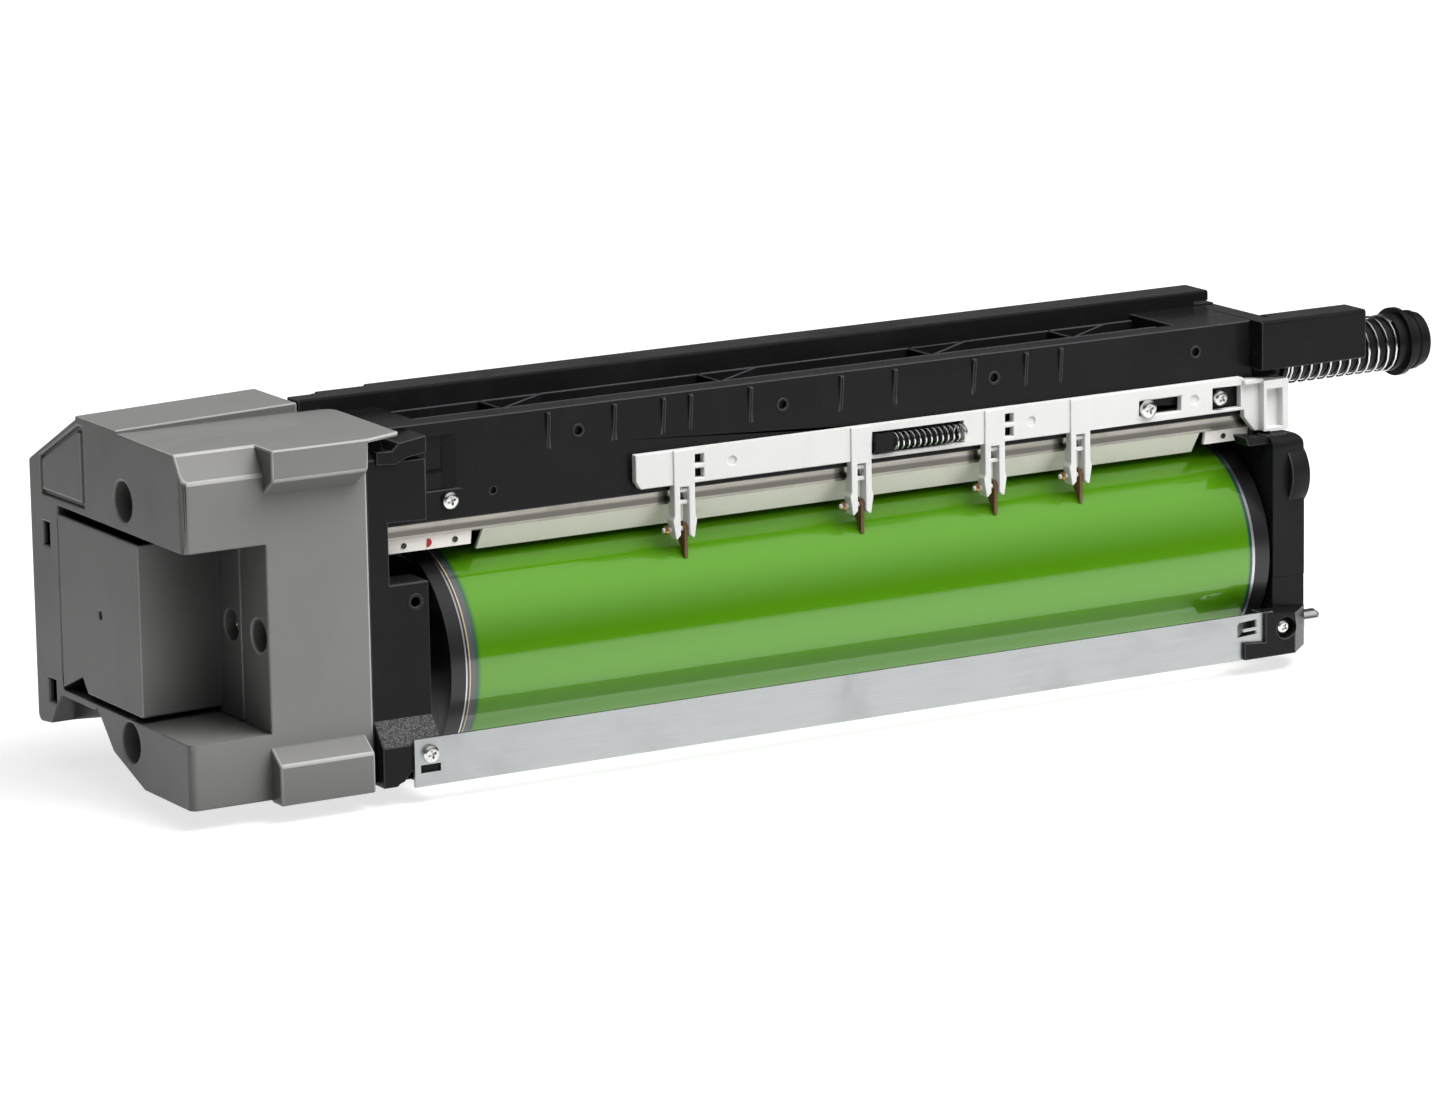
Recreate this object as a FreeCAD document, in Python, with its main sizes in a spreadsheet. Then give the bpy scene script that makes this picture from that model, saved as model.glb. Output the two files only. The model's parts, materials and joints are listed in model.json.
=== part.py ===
import FreeCAD, Part
import math
import os

import Sketcher
from FreeCAD import Vector

# Printer drum unit. X runs along the drum axis towards the drive end, Z is up, and the operator
# looks at the unit from -X. The origin is on the drum axis at the outer face of the drive flange.
# All lengths are millimetres.

SIZES = {
    # drum
    "drum_radius": 42.0,
    "tube_wall": 1.5,
    "tube_length": 352.5,
    "drive_ring": 7.0,
    "front_ring": 6.0,
    "ring_step": 0.15,
    "plug_depth": 15.0,
    "journal_radius": 12.5,
    "coupling_radius": 6.0,
    "coupling_depth": 17.0,
    "journal_reach": 8.5,
    # end frames
    "drive_gap": 1.5,
    "frame_wall": 8.5,
    "front_bay": 24.5,
    "bearing_width": 7.0,
    "bearing_ring": 6.0,
    "running_gap": 0.05,
    "floor_gap": 3.0,
    "foot_length": 14.0,
    "front_foot_y": 6.0,
    "rear_foot_y": 62.0,
    "column_face": 42.0,
    "column_width": 24.4,
    "post_width": 15.0,
    "post_top": 47.6,
    # front cover outline
    "cover_depth": 74.5,
    "cover_wall": 2.5,
    "cover_face": 42.5,
    "cover_top": 94.0,
    "cover_back": 89.4,
    "cover_bottom": 36.7,
    "cover_round": 2.8,
    "grip_depth": 33.0,
    "grip_top": 58.3,
    "grip_bottom": 12.3,
    "window_back": 66.0,
    "inner_face": 4.0,
    "inner_edge": 19.8,
    "inner_wall": 2.0,
    "seam": 0.4,
    "block_reach": 7.5,
    "lip_overhang": 13.0,
    "lip_wall": 1.6,
    # cleaner
    "beam_face": 28.0,
    "beam_bottom": 55.0,
    "beam_top": 92.3,
    "beam_wall": 2.2,
    "lip_depth": 9.5,
    "deck_level": 86.0,
    "deck_wall": 3.0,
    "lattice_top": 90.0,
    "lip_gap": 2.38,
    "rail_front": 12.0,
    "rail_back": 28.5,
    "rail_top": 98.0,
    "housing_back": 30.0,
    "rib_width": 1.6,
    "rib_depth": 1.5,
    "auger_y": -19.0,
    "auger_z": 74.6,
    "auger_radius": 6.5,
    "auger_shaft": 3.0,
    "auger_pitch": 26.0,
    "flight_wall": 1.2,
    "trough_radius": 7.3,
    "trough_wall": 1.6,
    # gear train
    "gear_module": 1.5,
    "gear_width": 7.0,
    "gear_offset": 4.0,
    "drum_teeth": 22,
    "idler_teeth": 31,
    "auger_teeth": 20,
    "stud_radius": 4.0,
    # picker
    "bar_face": 31.6,
    "bar_wall": 3.2,
    "bar_right": -5.0,
    "bar_bottom": 57.6,
    "bar_top": 70.9,
    "block_right": 14.0,
    "block_bottom": 48.6,
    "slide_travel": 6.0,
    "holder_width": 9.0,
    "prong_tail": 3.5,
    "pivot_gap": 7.5685,
    "pivot_y": -29.0,
    "pivot_radius": 1.0,
    "finger_wall": 1.4,
    "tip_gap": 0.35,
    "slider_spring_radius": 3.4,
    "slider_wire": 0.7,
    "slider_turns": 13,
    # outlet
    "outlet_radius": 10.25,
    "outlet_bore": 8.0,
    "outlet_end": 84.0,
    "shutter_length": 12.6,
    "shutter_wall": 1.1,
    "shutter_flange": 13.7,
    "spring_wire": 1.0,
    "spring_radius": 11.7,
    "spring_turns": 12,
    "seat_x": 15.0,
    # tie plate and rear parts
    "plate_face": 50.0,
    "plate_wall": 1.2,
    "plate_top": 20.3,
    "plate_height": 18.0,
    "plate_inset": 12.7,
    "plate_right": -4.0,
    "charger_gap": 4.0,
    "charger_depth": 24.0,
    "charger_bottom": 1.0,
    "charger_height": 26.0,
    "charger_wall": 1.0,
    "bracket_right": 5.6,
    "pin_radius": 3.5,
    "pin_end": 25.8,
    "screw_radius": 1.8,
    "blade_screw_radius": 1.5,
    "cover_screw_radius": 1.6,
}

GAP = 0.3

doc = FreeCAD.newDocument("printer_drum_unit")
sheet = doc.addObject("Spreadsheet::Sheet", "dims")
for row, (alias, value) in enumerate(SIZES.items(), start=1):
    sheet.set(f"A{row}", alias)
    sheet.set(f"B{row}", str(value))
    sheet.setAlias(f"B{row}", alias)
doc.recompute()


class Size:
    """A length with the sheet expression that gives it."""

    def __init__(self, value, text):
        self.value = value
        self.text = text

    def __add__(self, other):
        other = as_size(other)
        return Size(self.value + other.value, f"({self.text} + {other.text})")

    def __sub__(self, other):
        other = as_size(other)
        return Size(self.value - other.value, f"({self.text} - {other.text})")

    def __mul__(self, other):
        other = as_size(other)
        return Size(self.value * other.value, f"({self.text} * {other.text})")

    def __truediv__(self, other):
        other = as_size(other)
        return Size(self.value / other.value, f"({self.text} / {other.text})")

    def __neg__(self):
        return Size(-self.value, f"(0 - {self.text})")

    def __radd__(self, other):
        return as_size(other) + self

    def __rsub__(self, other):
        return as_size(other) - self

    def __rmul__(self, other):
        return as_size(other) * self


class Dimensions:
    """Reads a driving dimension by its name in the sheet."""

    def __getattr__(self, alias):
        return Size(float(sheet.get(alias)), f"dims.{alias}")


def as_size(number):
    if isinstance(number, Size):
        return number
    return Size(float(number), f"{float(number):.6f}")


def root(size):
    return Size(math.sqrt(size.value), f"sqrt({size.text})")


def bind(target, path, size):
    """Ties one property of an object to the sheet."""
    target.setExpression(path, as_size(size).text)


D = Dimensions()
subparts = []

# Stations along the drum axis
TUBE_RIGHT = -D.drive_ring
TUBE_LEFT = TUBE_RIGHT - D.tube_length
RING_LEFT = TUBE_LEFT - D.front_ring
FRONT_IN = RING_LEFT - D.front_bay
FRONT_OUT = FRONT_IN - D.frame_wall
COVER_LEFT = FRONT_OUT - D.cover_depth
GRIP_RIGHT = COVER_LEFT + D.grip_depth
DRIVE_IN = D.drive_gap
DRIVE_OUT = DRIVE_IN + D.frame_wall
POST_RIGHT = DRIVE_IN + D.post_width
COLUMN_RIGHT = FRONT_OUT + D.column_width
PLATE_LEFT = FRONT_OUT + D.plate_inset
FLOOR = -D.drum_radius - D.floor_gap

# Drum length on which the places between the end frames were taken
MEASURED_LENGTH = 352.5


def along(place):
    """Station that keeps its share of the drum's length."""
    return D.tube_length * (place / MEASURED_LENGTH)


def keep(sub_part, label):
    """Enters a finished sub-part under the name of its file."""
    sub_part.Label = label
    subparts.append((label, sub_part))
    return sub_part


def new_body(label):
    return keep(doc.addObject("PartDesign::Body", label), label)


def plane_of(body, plane):
    for feature in body.Origin.OriginFeatures:
        if feature.Role == f"{plane}_Plane":
            return feature
    raise ValueError(plane)


def new_sketch(body, plane, level):
    sketch = body.newObject("Sketcher::SketchObject", "outline")
    sketch.AttachmentSupport = (plane_of(body, plane), [""])
    sketch.MapMode = "FlatFace"
    bind(sketch, ".AttachmentOffset.Base.z", level)
    return sketch


def fix_point(sketch, geometry, position, a, b):
    """Holds a sketch point at coordinates taken from the sheet."""
    for kind, size in (("DistanceX", as_size(a)), ("DistanceY", as_size(b))):
        constraint = Sketcher.Constraint(kind, -1, 1, geometry, position, size.value)
        index = sketch.addConstraint(constraint)
        bind(sketch, f"Constraints[{index}]", size)


def corner_arc(before, corner, after, radius):
    """Tangent points, centre and turning side of a rounded corner."""
    incoming = (before - corner).normalize()
    outgoing = (after - corner).normalize()
    half = incoming.getAngle(outgoing) / 2
    reach = radius / math.tan(half)
    centre = corner + (incoming + outgoing).normalize() * (radius / math.sin(half))
    left_turn = (corner - before).cross(after - corner).z > 0
    return corner + incoming * reach, corner + outgoing * reach, centre, left_turn


def add_polygon(sketch, corners):
    """Closed outline; a third entry in a corner is its rounding radius."""
    points = [Vector(as_size(c[0]).value, as_size(c[1]).value, 0) for c in corners]
    count = len(corners)
    starts = []
    ends = []
    arcs = []
    for i, corner in enumerate(corners):
        if len(corner) == 2:
            starts.append(points[i])
            ends.append(points[i])
            arcs.append(None)
            continue
        arc = corner_arc(points[i - 1], points[i], points[(i + 1) % count], as_size(corner[2]).value)
        ends.append(arc[0])
        starts.append(arc[1])
        arcs.append(arc)
    first = len(sketch.Geometry)
    lines = [Part.LineSegment(starts[i], ends[(i + 1) % count]) for i in range(count)]
    sketch.addGeometry(lines)
    for i, corner in enumerate(corners):
        before = first + (i - 1) % count
        after = first + i
        if arcs[i] is None:
            sketch.addConstraint(Sketcher.Constraint("Coincident", before, 2, after, 1))
            fix_point(sketch, after, 1, corner[0], corner[1])
            continue
        add_corner(sketch, before, after, points[i], arcs[i], corner)


def add_corner(sketch, before, after, point, arc, corner):
    """Rounds one corner of an outline, whose sharp point stays fixed."""
    start, end, centre, left_turn = arc
    if not left_turn:
        start, end = end, start
    angles = [math.atan2((p - centre).y, (p - centre).x) for p in (start, end)]
    circle = Part.Circle(centre, Vector(0, 0, 1), as_size(corner[2]).value)
    curve = sketch.addGeometry(Part.ArcOfCircle(circle, angles[0], angles[1]))
    begin, finish = (1, 2) if left_turn else (2, 1)
    sketch.addConstraint(Sketcher.Constraint("Tangent", before, 2, curve, begin))
    sketch.addConstraint(Sketcher.Constraint("Tangent", curve, finish, after, 1))
    index = sketch.addConstraint(Sketcher.Constraint("Radius", curve, as_size(corner[2]).value))
    bind(sketch, f"Constraints[{index}]", corner[2])
    spot = sketch.addGeometry(Part.Point(point), True)
    fix_point(sketch, spot, 1, corner[0], corner[1])
    sketch.addConstraint(Sketcher.Constraint("PointOnObject", spot, 1, before))
    sketch.addConstraint(Sketcher.Constraint("PointOnObject", spot, 1, after))


def add_circle(sketch, a, b, radius):
    a, b, radius = as_size(a), as_size(b), as_size(radius)
    circle = Part.Circle(Vector(a.value, b.value, 0), Vector(0, 0, 1), radius.value)
    index = sketch.addGeometry(circle)
    fix_point(sketch, index, 3, a, b)
    constraint = sketch.addConstraint(Sketcher.Constraint("Radius", index, radius.value))
    bind(sketch, f"Constraints[{constraint}]", radius)


def draw(body, plane, loops, low, high):
    """Sketch on the low side of a slab; the XZ plane faces -Y, so there it is the high side."""
    level = -as_size(high) if plane == "XZ" else low
    sketch = new_sketch(body, plane, level)
    for loop in loops:
        if loop[0] == "circle":
            add_circle(sketch, *loop[1:])
        else:
            add_polygon(sketch, loop)
    return sketch


def pad(body, plane, loops, low, high):
    sketch = draw(body, plane, loops, low, high)
    feature = body.newObject("PartDesign::Pad", "pad")
    feature.Profile = sketch
    feature.Refine = False
    bind(feature, "Length", as_size(high) - low)
    sketch.Visibility = False
    return feature


def pocket(body, plane, loops, low, high):
    doc.recompute()
    before = body.Shape.Volume
    sketch = draw(body, plane, loops, low, high)
    feature = body.newObject("PartDesign::Pocket", "pocket")
    feature.Profile = sketch
    feature.Refine = False
    feature.Reversed = True
    bind(feature, "Length", as_size(high) - low)
    doc.recompute()
    if body.Shape.Volume >= before - 1e-6:
        raise ValueError(f"a pocket of {body.Label} removes nothing")
    return feature


def block(a0, a1, b0, b1):
    """Rectangular outline."""
    return [(a0, b0), (a1, b0), (a1, b1), (a0, b1)]


def bevel_block(a0, a1, b0, b1, radius):
    """Rectangular outline with rounded corners."""
    return [(a0, b0, radius), (a1, b0, radius), (a1, b1, radius), (a0, b1, radius)]


def turned(label, profile, y, z):
    """Round part about an axis along X; the profile holds (x, radius) corners."""
    body = new_body(label)
    sketch = new_sketch(body, "XY", 0)
    add_polygon(sketch, profile)
    feature = body.newObject("PartDesign::Revolution", "turn")
    feature.Profile = sketch
    feature.ReferenceAxis = (sketch, ["H_Axis"])
    feature.Angle = 360
    bind(body, "Placement.Base.y", y)
    bind(body, "Placement.Base.z", z)
    return body


def rod(axis, x, y, z, radius, length):
    """Plain cylinder that starts at a point and runs along a named axis."""
    turns = {"+X": (Vector(0, 1, 0), 90), "-X": (Vector(0, 1, 0), -90), "+Y": (Vector(1, 0, 0), -90),
             "-Y": (Vector(1, 0, 0), 90), "+Z": (Vector(0, 0, 1), 0)}
    direction, angle = turns[axis]
    cylinder = doc.addObject("Part::Cylinder", "rod")
    cylinder.Placement = FreeCAD.Placement(Vector(), FreeCAD.Rotation(direction, angle))
    bind(cylinder, "Radius", radius)
    bind(cylinder, "Height", length)
    bind(cylinder, "Placement.Base.x", x)
    bind(cylinder, "Placement.Base.y", y)
    bind(cylinder, "Placement.Base.z", z)
    return cylinder


def grouped(label, members):
    """Loose solids of one kind under one name."""
    group = doc.addObject("Part::Compound", label)
    group.Links = members
    return keep(group, label)


def screw(axis, x, y, z, head_radius, head_height, shank_radius, shank_length):
    """Pan head screw whose head sits on the point and whose shank runs along the axis."""
    back = {"+X": "-X", "-X": "+X", "+Y": "-Y"}[axis]
    union = doc.addObject("Part::MultiFuse", "screw")
    union.Shapes = [rod(back, x, y, z, head_radius, head_height),
                    rod(axis, x, y, z, shank_radius, shank_length)]
    return union


# Drum

def drum_tube():
    inner = D.drum_radius - D.tube_wall
    turned("drum_tube", block(TUBE_LEFT, TUBE_RIGHT, inner, D.drum_radius), 0, 0)


def drive_flange():
    """Plug with a rim, a journal and the coupling bore."""
    rim = D.drum_radius - D.ring_step
    plug = D.drum_radius - D.tube_wall
    profile = [(TUBE_RIGHT - D.plug_depth, plug - 2.5), (TUBE_RIGHT - D.plug_depth, plug),
               (TUBE_RIGHT, plug), (TUBE_RIGHT, rim), (0, rim), (0, rim - 3), (-2, rim - 5),
               (-2, D.journal_radius + 2.5), (0, D.journal_radius + 2.5), (0, D.journal_radius),
               (D.journal_reach, D.journal_radius), (D.journal_reach, D.coupling_radius),
               (-D.coupling_depth, D.coupling_radius),
               (-D.coupling_depth, D.coupling_radius + 4), (TUBE_RIGHT + 1, D.coupling_radius + 4),
               (TUBE_RIGHT + 1, plug - 2.5)]
    body = turned("drive_flange", profile, 0, 0)
    slot = 1.8
    reach = D.journal_radius + 0.5
    pocket(body, "YZ", [block(-reach, reach, -slot, slot)], D.journal_reach - 3, D.journal_reach)


def front_flange():
    """Plug with a rim and a long journal that carries the drum gear."""
    rim = D.drum_radius - D.ring_step
    plug = D.drum_radius - D.tube_wall
    gear_end = FRONT_OUT - D.gear_offset - D.gear_width
    stub = D.journal_radius - 4
    profile = [(TUBE_LEFT + D.plug_depth, plug - 2.5), (TUBE_LEFT + D.plug_depth, plug),
               (TUBE_LEFT, plug), (TUBE_LEFT, rim), (RING_LEFT, rim), (RING_LEFT, rim - 3),
               (RING_LEFT + 2, rim - 5), (RING_LEFT + 2, D.journal_radius + 3),
               (RING_LEFT, D.journal_radius), (FRONT_OUT - 1, D.journal_radius),
               (FRONT_OUT - 1, stub), (gear_end, stub), (gear_end, stub - 3),
               (TUBE_LEFT - 1, stub - 3), (TUBE_LEFT - 1, plug - 2.5)]
    turned("front_flange", profile, 0, 0)


# Gear train under the front cover

def gear_outline(teeth, turn, module):
    """Spur gear outline with flanks narrowed a little for backlash."""
    pitch = module * teeth / 2
    radii = (pitch - 1.25 * module, pitch - 0.45 * module, pitch + 0.45 * module, pitch + 0.92 * module)
    shares = (0.33, 0.275, 0.195, 0.125)
    step = 2 * math.pi / teeth
    corners = []
    for tooth in range(teeth):
        middle = turn + tooth * step
        flank = [(radius, share * step) for radius, share in zip(radii, shares)]
        corners += [(radius, middle - offset) for radius, offset in flank]
        corners += [(radius, middle + offset) for radius, offset in reversed(flank)]
    return [Vector(0, r * math.cos(a), r * math.sin(a)) for r, a in corners]


def spur_gear(label, teeth, turn, y, z, bore):
    """Gear on an axis along X; its first tooth points at the angle turn."""
    width = D.gear_width.value
    corners = gear_outline(teeth, turn, D.gear_module.value)
    teeth_face = Part.Face(Part.makePolygon(corners + corners[:1]))
    wheel = teeth_face.extrude(Vector(width, 0, 0))
    hole = Part.makeCylinder(bore, width + 2, Vector(-1, 0, 0), Vector(1, 0, 0))
    gear = doc.addObject("Part::Feature", label)
    gear.Shape = wheel.cut(hole)
    start = FRONT_OUT - D.gear_offset - D.gear_width
    gear.Placement = FreeCAD.Placement(Vector(start.value, y, z), FreeCAD.Rotation())
    return keep(gear, label)


def idler_centre():
    """Place of the idler that meshes with the drum gear and the auger gear."""
    drum_reach = D.gear_module * (D.drum_teeth + D.idler_teeth) / 2
    auger_reach = D.gear_module * (D.auger_teeth + D.idler_teeth) / 2
    apart = root(D.auger_y * D.auger_y + D.auger_z * D.auger_z)
    along = (apart * apart + drum_reach * drum_reach - auger_reach * auger_reach) / (apart * 2)
    aside = root(drum_reach * drum_reach - along * along)
    y = (D.auger_y * along + D.auger_z * aside) / apart
    z = (D.auger_z * along - D.auger_y * aside) / apart
    return y, z


def mesh_turn(angle, teeth_before, turn_before, teeth):
    """Turn of the next gear so that its gap meets the tooth of the gear before it."""
    step_before = 2 * math.pi / teeth_before
    step = 2 * math.pi / teeth
    phase = ((angle - turn_before) % step_before) / step_before
    return angle + math.pi + phase * step - step / 2


def gear_train():
    y, z = idler_centre()
    drum_teeth = int(D.drum_teeth.value)
    idler_teeth = int(D.idler_teeth.value)
    auger_teeth = int(D.auger_teeth.value)
    to_idler = math.atan2(z.value, y.value)
    to_auger = math.atan2(D.auger_z.value - z.value, D.auger_y.value - y.value)
    idler_turn = mesh_turn(to_idler, drum_teeth, 0, idler_teeth)
    auger_turn = mesh_turn(to_auger, idler_teeth, idler_turn, auger_teeth)
    stud_gap = D.running_gap.value
    spur_gear("drum_gear", drum_teeth, 0, 0, 0, D.journal_radius.value - 4)
    spur_gear("idler_gear", idler_teeth, idler_turn, y.value, z.value, D.stud_radius.value + stud_gap)
    spur_gear("auger_gear", auger_teeth, auger_turn, D.auger_y.value, D.auger_z.value,
              D.auger_shaft.value)
    end = FRONT_OUT - D.gear_offset - D.gear_width - 2.5
    shoulder = FRONT_OUT - D.gear_offset + GAP
    turned("idler_stud", [(end, 0), (end, D.stud_radius), (shoulder, D.stud_radius),
                          (shoulder, D.stud_radius + 2.5), (FRONT_OUT, D.stud_radius + 2.5),
                          (FRONT_OUT, D.stud_radius), (FRONT_IN, D.stud_radius), (FRONT_IN, 0)], y, z)


# Cleaner

def auger():
    """Shaft with one helical flight."""
    start = FRONT_OUT - D.gear_offset - D.gear_width - 1
    end = D.outlet_end + 1
    flight_start = FRONT_IN + 3
    flight_end = D.outlet_end - 6
    pitch = D.auger_pitch.value
    length = flight_end.value - flight_start.value
    shaft_radius = D.auger_shaft.value
    inner = shaft_radius - 0.4
    helix = Part.makeHelix(pitch, length, inner)
    half = D.flight_wall.value / 2
    tip = D.auger_radius.value
    corners = [Vector(inner, 0, -half), Vector(tip, 0, -half), Vector(tip, 0, half),
               Vector(inner, 0, half)]
    section = Part.makePolygon(corners + corners[:1])
    sweep = Part.BRepOffsetAPI.MakePipeShell(helix)
    sweep.setFrenetMode(True)
    sweep.add(section)
    sweep.build()
    sweep.makeSolid()
    flight = sweep.shape()
    flight.rotate(Vector(), Vector(0, 1, 0), 90)
    flight.translate(Vector(flight_start.value, 0, 0))
    shaft = Part.makeCylinder(shaft_radius, end.value - start.value, Vector(start.value, 0, 0),
                              Vector(1, 0, 0))
    conveyor = doc.addObject("Part::Feature", "auger")
    conveyor.Shape = shaft.fuse(flight)
    conveyor.Placement = FreeCAD.Placement(Vector(0, D.auger_y.value, D.auger_z.value),
                                           FreeCAD.Rotation())
    keep(conveyor, "auger")
    turned("auger_bush", block(FRONT_OUT, FRONT_IN, D.auger_shaft + D.running_gap, D.auger_shaft + 3),
           D.auger_y, D.auger_z)


RIB_PLACES = [along(place) for place in (-316.1, -287.9, -266.8, -255.1, -229.0, -188.9, -165.0,
                                         -129.2, -105.5, -89.5)]
BOSS_PLACES = [along(place) for place in (-302.6, -214.1, -119.3, -25.7)]
BOSS_LEVEL = 82.4
LATTICE_CROSSES = [along(place) for place in (-324.0, -229.5, -135.0, -70.0)]
BLADE_SCREW_PLACES = [along(place) for place in (-330.0, -183.0, -36.0)]
BLADE_SCREW_LEVEL = 66.0
HOUSING_SCREW = (FRONT_OUT + 41.1, 62.5)
SLIDER_SCREWS = ((-50.9, 63.2), (-16.5, 63.6))


def housing_section():
    """Front wall, lip, deck, rear wall and the toner trough in one outline."""
    wall = D.beam_wall
    centre_y, centre_z = D.auger_y, D.auger_z
    inner = D.trough_radius
    outer = D.trough_radius + D.trough_wall
    ceiling = D.deck_level - D.deck_wall
    return [(-D.beam_face, D.beam_bottom), (-D.beam_face + wall, D.beam_bottom),
            (-D.beam_face + wall, centre_z - outer),
            (centre_y + outer, centre_z - outer, outer * 0.9), (centre_y + outer, centre_z + 3.4),
            (centre_y + inner, centre_z + 3.4),
            (centre_y + inner, centre_z - inner, inner * 0.98),
            (centre_y - inner, centre_z - inner, inner * 0.98),
            (centre_y - inner, ceiling), (D.housing_back - wall, ceiling),
            (D.housing_back - wall, D.beam_bottom - 3), (D.housing_back, D.beam_bottom - 3),
            (D.housing_back, D.deck_level), (-D.beam_face + D.lip_depth, D.deck_level),
            (-D.beam_face + D.lip_depth, D.beam_top), (-D.beam_face, D.beam_top)]


def cleaner_housing():
    body = new_body("cleaner_housing")
    pad(body, "YZ", [housing_section()], FRONT_IN, DRIVE_IN)
    face = -D.beam_face
    inside = face + D.beam_wall
    lip_back = face + D.lip_depth
    rail = D.rail_front
    # solid deck ends beside the lattice
    for low, high in ((-30.0, DRIVE_IN), (FRONT_IN, FRONT_IN + 24)):
        pad(body, "YZ", [block(lip_back - 1, rail, D.deck_level - 1, D.beam_top)], low, high)
    lattice(body, rail)
    # triangular ribs on the front wall, left standing between cuts in one long wedge
    wedge = [(face + 0.5, D.beam_top - 1), (face - D.rib_depth, D.beam_top - 1.6),
             (face + 0.5, D.bar_top + 1.5)]
    pad(body, "YZ", [wedge], RIB_PLACES[0], D.rib_width + RIB_PLACES[-1])
    between = zip(RIB_PLACES[:-1], RIB_PLACES[1:])
    gaps = [block(D.rib_width + start, end, D.bar_top, D.beam_top) for start, end in between]
    pocket(body, "XZ", gaps, face - D.rib_depth - 1, face)
    # holes with a raised rim, and a plain one near the front end
    pad(body, "XZ", [("circle", place, BOSS_LEVEL, 2.7) for place in BOSS_PLACES], face - 0.4, face + 0.5)
    holes = [("circle", place, BOSS_LEVEL, 1.7) for place in BOSS_PLACES]
    holes.append(("circle", FRONT_OUT + 59.7, 63.9, 1.3))
    pocket(body, "XZ", holes, face - 0.4, face + 1.6)
    fixings = [("circle", x, z, D.screw_radius) for x, z in SLIDER_SCREWS + (HOUSING_SCREW,)]
    pocket(body, "XZ", fixings, face, inside)
    back = D.housing_back
    holes = [("circle", place, BLADE_SCREW_LEVEL, D.blade_screw_radius) for place in BLADE_SCREW_PLACES]
    pocket(body, "XZ", holes, back - D.beam_wall, back)
    # recess with a slanted side at the left end of the front wall
    near, slant, far = FRONT_OUT + 32, FRONT_OUT + 38.9, FRONT_OUT + 44.4
    pocket(body, "XY", [[(near, face - 1), (far, face - 1), (far, face), (slant, face + 1.6),
                         (near, face + 1.6)]], D.beam_bottom + 11.6, D.deck_level + 1.2)


def lattice(body, rail):
    """Two long ribs on the deck, with straight and slanted ribs between them."""
    low = D.deck_level - 0.5
    wide = D.rib_width
    front = rail - 19.3
    back = rail - 1.8
    pad(body, "YZ", [block(y, y + wide, low, D.lattice_top) for y in (front, back)], FRONT_IN + 23, -29.0)
    straight = [block(place, place + wide, front + 0.5, back + 0.5) for place in LATTICE_CROSSES]
    pad(body, "XY", straight, low, D.lattice_top)
    slanted = [[(place, front + 0.5), (place + wide, front + 0.5), (place + wide + 26, back + 0.5),
                (place + 26, back + 0.5)] for place in LATTICE_CROSSES]
    pad(body, "XY", slanted, low, D.lattice_top)


def guide_rail():
    """Channel section rail behind the deck, open underneath, stepped at the front end."""
    body = new_body("guide_rail")
    wall = D.beam_wall
    end = DRIVE_OUT - 2.4
    pad(body, "YZ", [[(D.rail_front, D.deck_level), (D.rail_front + wall, D.deck_level),
                      (D.rail_front + wall, D.rail_top - wall), (D.rail_back - wall, D.rail_top - wall),
                      (D.rail_back - wall, D.deck_level), (D.rail_back, D.deck_level),
                      (D.rail_back, D.rail_top, 1.0), (D.rail_front, D.rail_top, 1.0)]],
        FRONT_OUT + 0.2, end)
    cut_high = D.rail_top + 1
    pocket(body, "XY", [block(FRONT_OUT - 1, FRONT_IN + 5, D.rail_back - 7, D.rail_back + 1)],
           D.rail_top - wall - 0.6, cut_high)
    pocket(body, "XY", [block(FRONT_IN + 4, FRONT_IN + 27, D.rail_back - 3.5, D.rail_back + 1)],
           D.rail_top - wall + 0.8, cut_high)
    # the channel is notched where the end frames cross it
    for low, high in ((FRONT_OUT - 1, FRONT_IN + GAP), (DRIVE_IN - GAP, DRIVE_OUT)):
        pocket(body, "YZ", [block(D.rail_front - 1, D.rail_back + 1, D.deck_level - 1,
                                  D.rail_top - wall - 2)], low, high)


def strips():
    """Polished bracket, cream recovery lip, and their end pieces under the beam."""
    face = -D.beam_face + D.beam_wall
    body = new_body("seal_bracket")
    pad(body, "YZ", [[(face, D.beam_bottom + 6), (face, 49.6), (face + 3.5, 48.4), (face + 4.1, 49.8),
                      (face + 1.5, 50.7), (face + 1.5, D.beam_bottom + 6)]], FRONT_IN, DRIVE_IN)
    # all hang from the slanted underside of the bracket and reach towards the drum
    seat_front = (face + 1.225, 49.18)
    seat_back = (face + 2.8, 48.64)
    reach = D.drum_radius + D.lip_gap
    tip_y = reach * -0.3988
    tip_z = reach * 0.9171
    lip = new_body("recovery_seal")
    pad(lip, "YZ", [[seat_front, (tip_y - 1.0, tip_z - 0.1), (tip_y + 0.4, tip_z + 0.5), seat_back]],
        FRONT_IN + 48.2, -21.5)
    drum_top = root(D.drum_radius * D.drum_radius - (face + 2.2) * (face + 2.2))
    edge = drum_top + (seat_front[1] - drum_top) * 0.641
    stretches = (("front_end_seal", FRONT_IN, FRONT_IN + 43.4), ("drive_end_seal", -18.8, DRIVE_IN))
    for label, low, high in stretches:
        piece = new_body(label)
        pad(piece, "YZ", [[seat_front, (face + 2.2, edge), (face + 3.9, edge), seat_back]], low, high)


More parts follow.
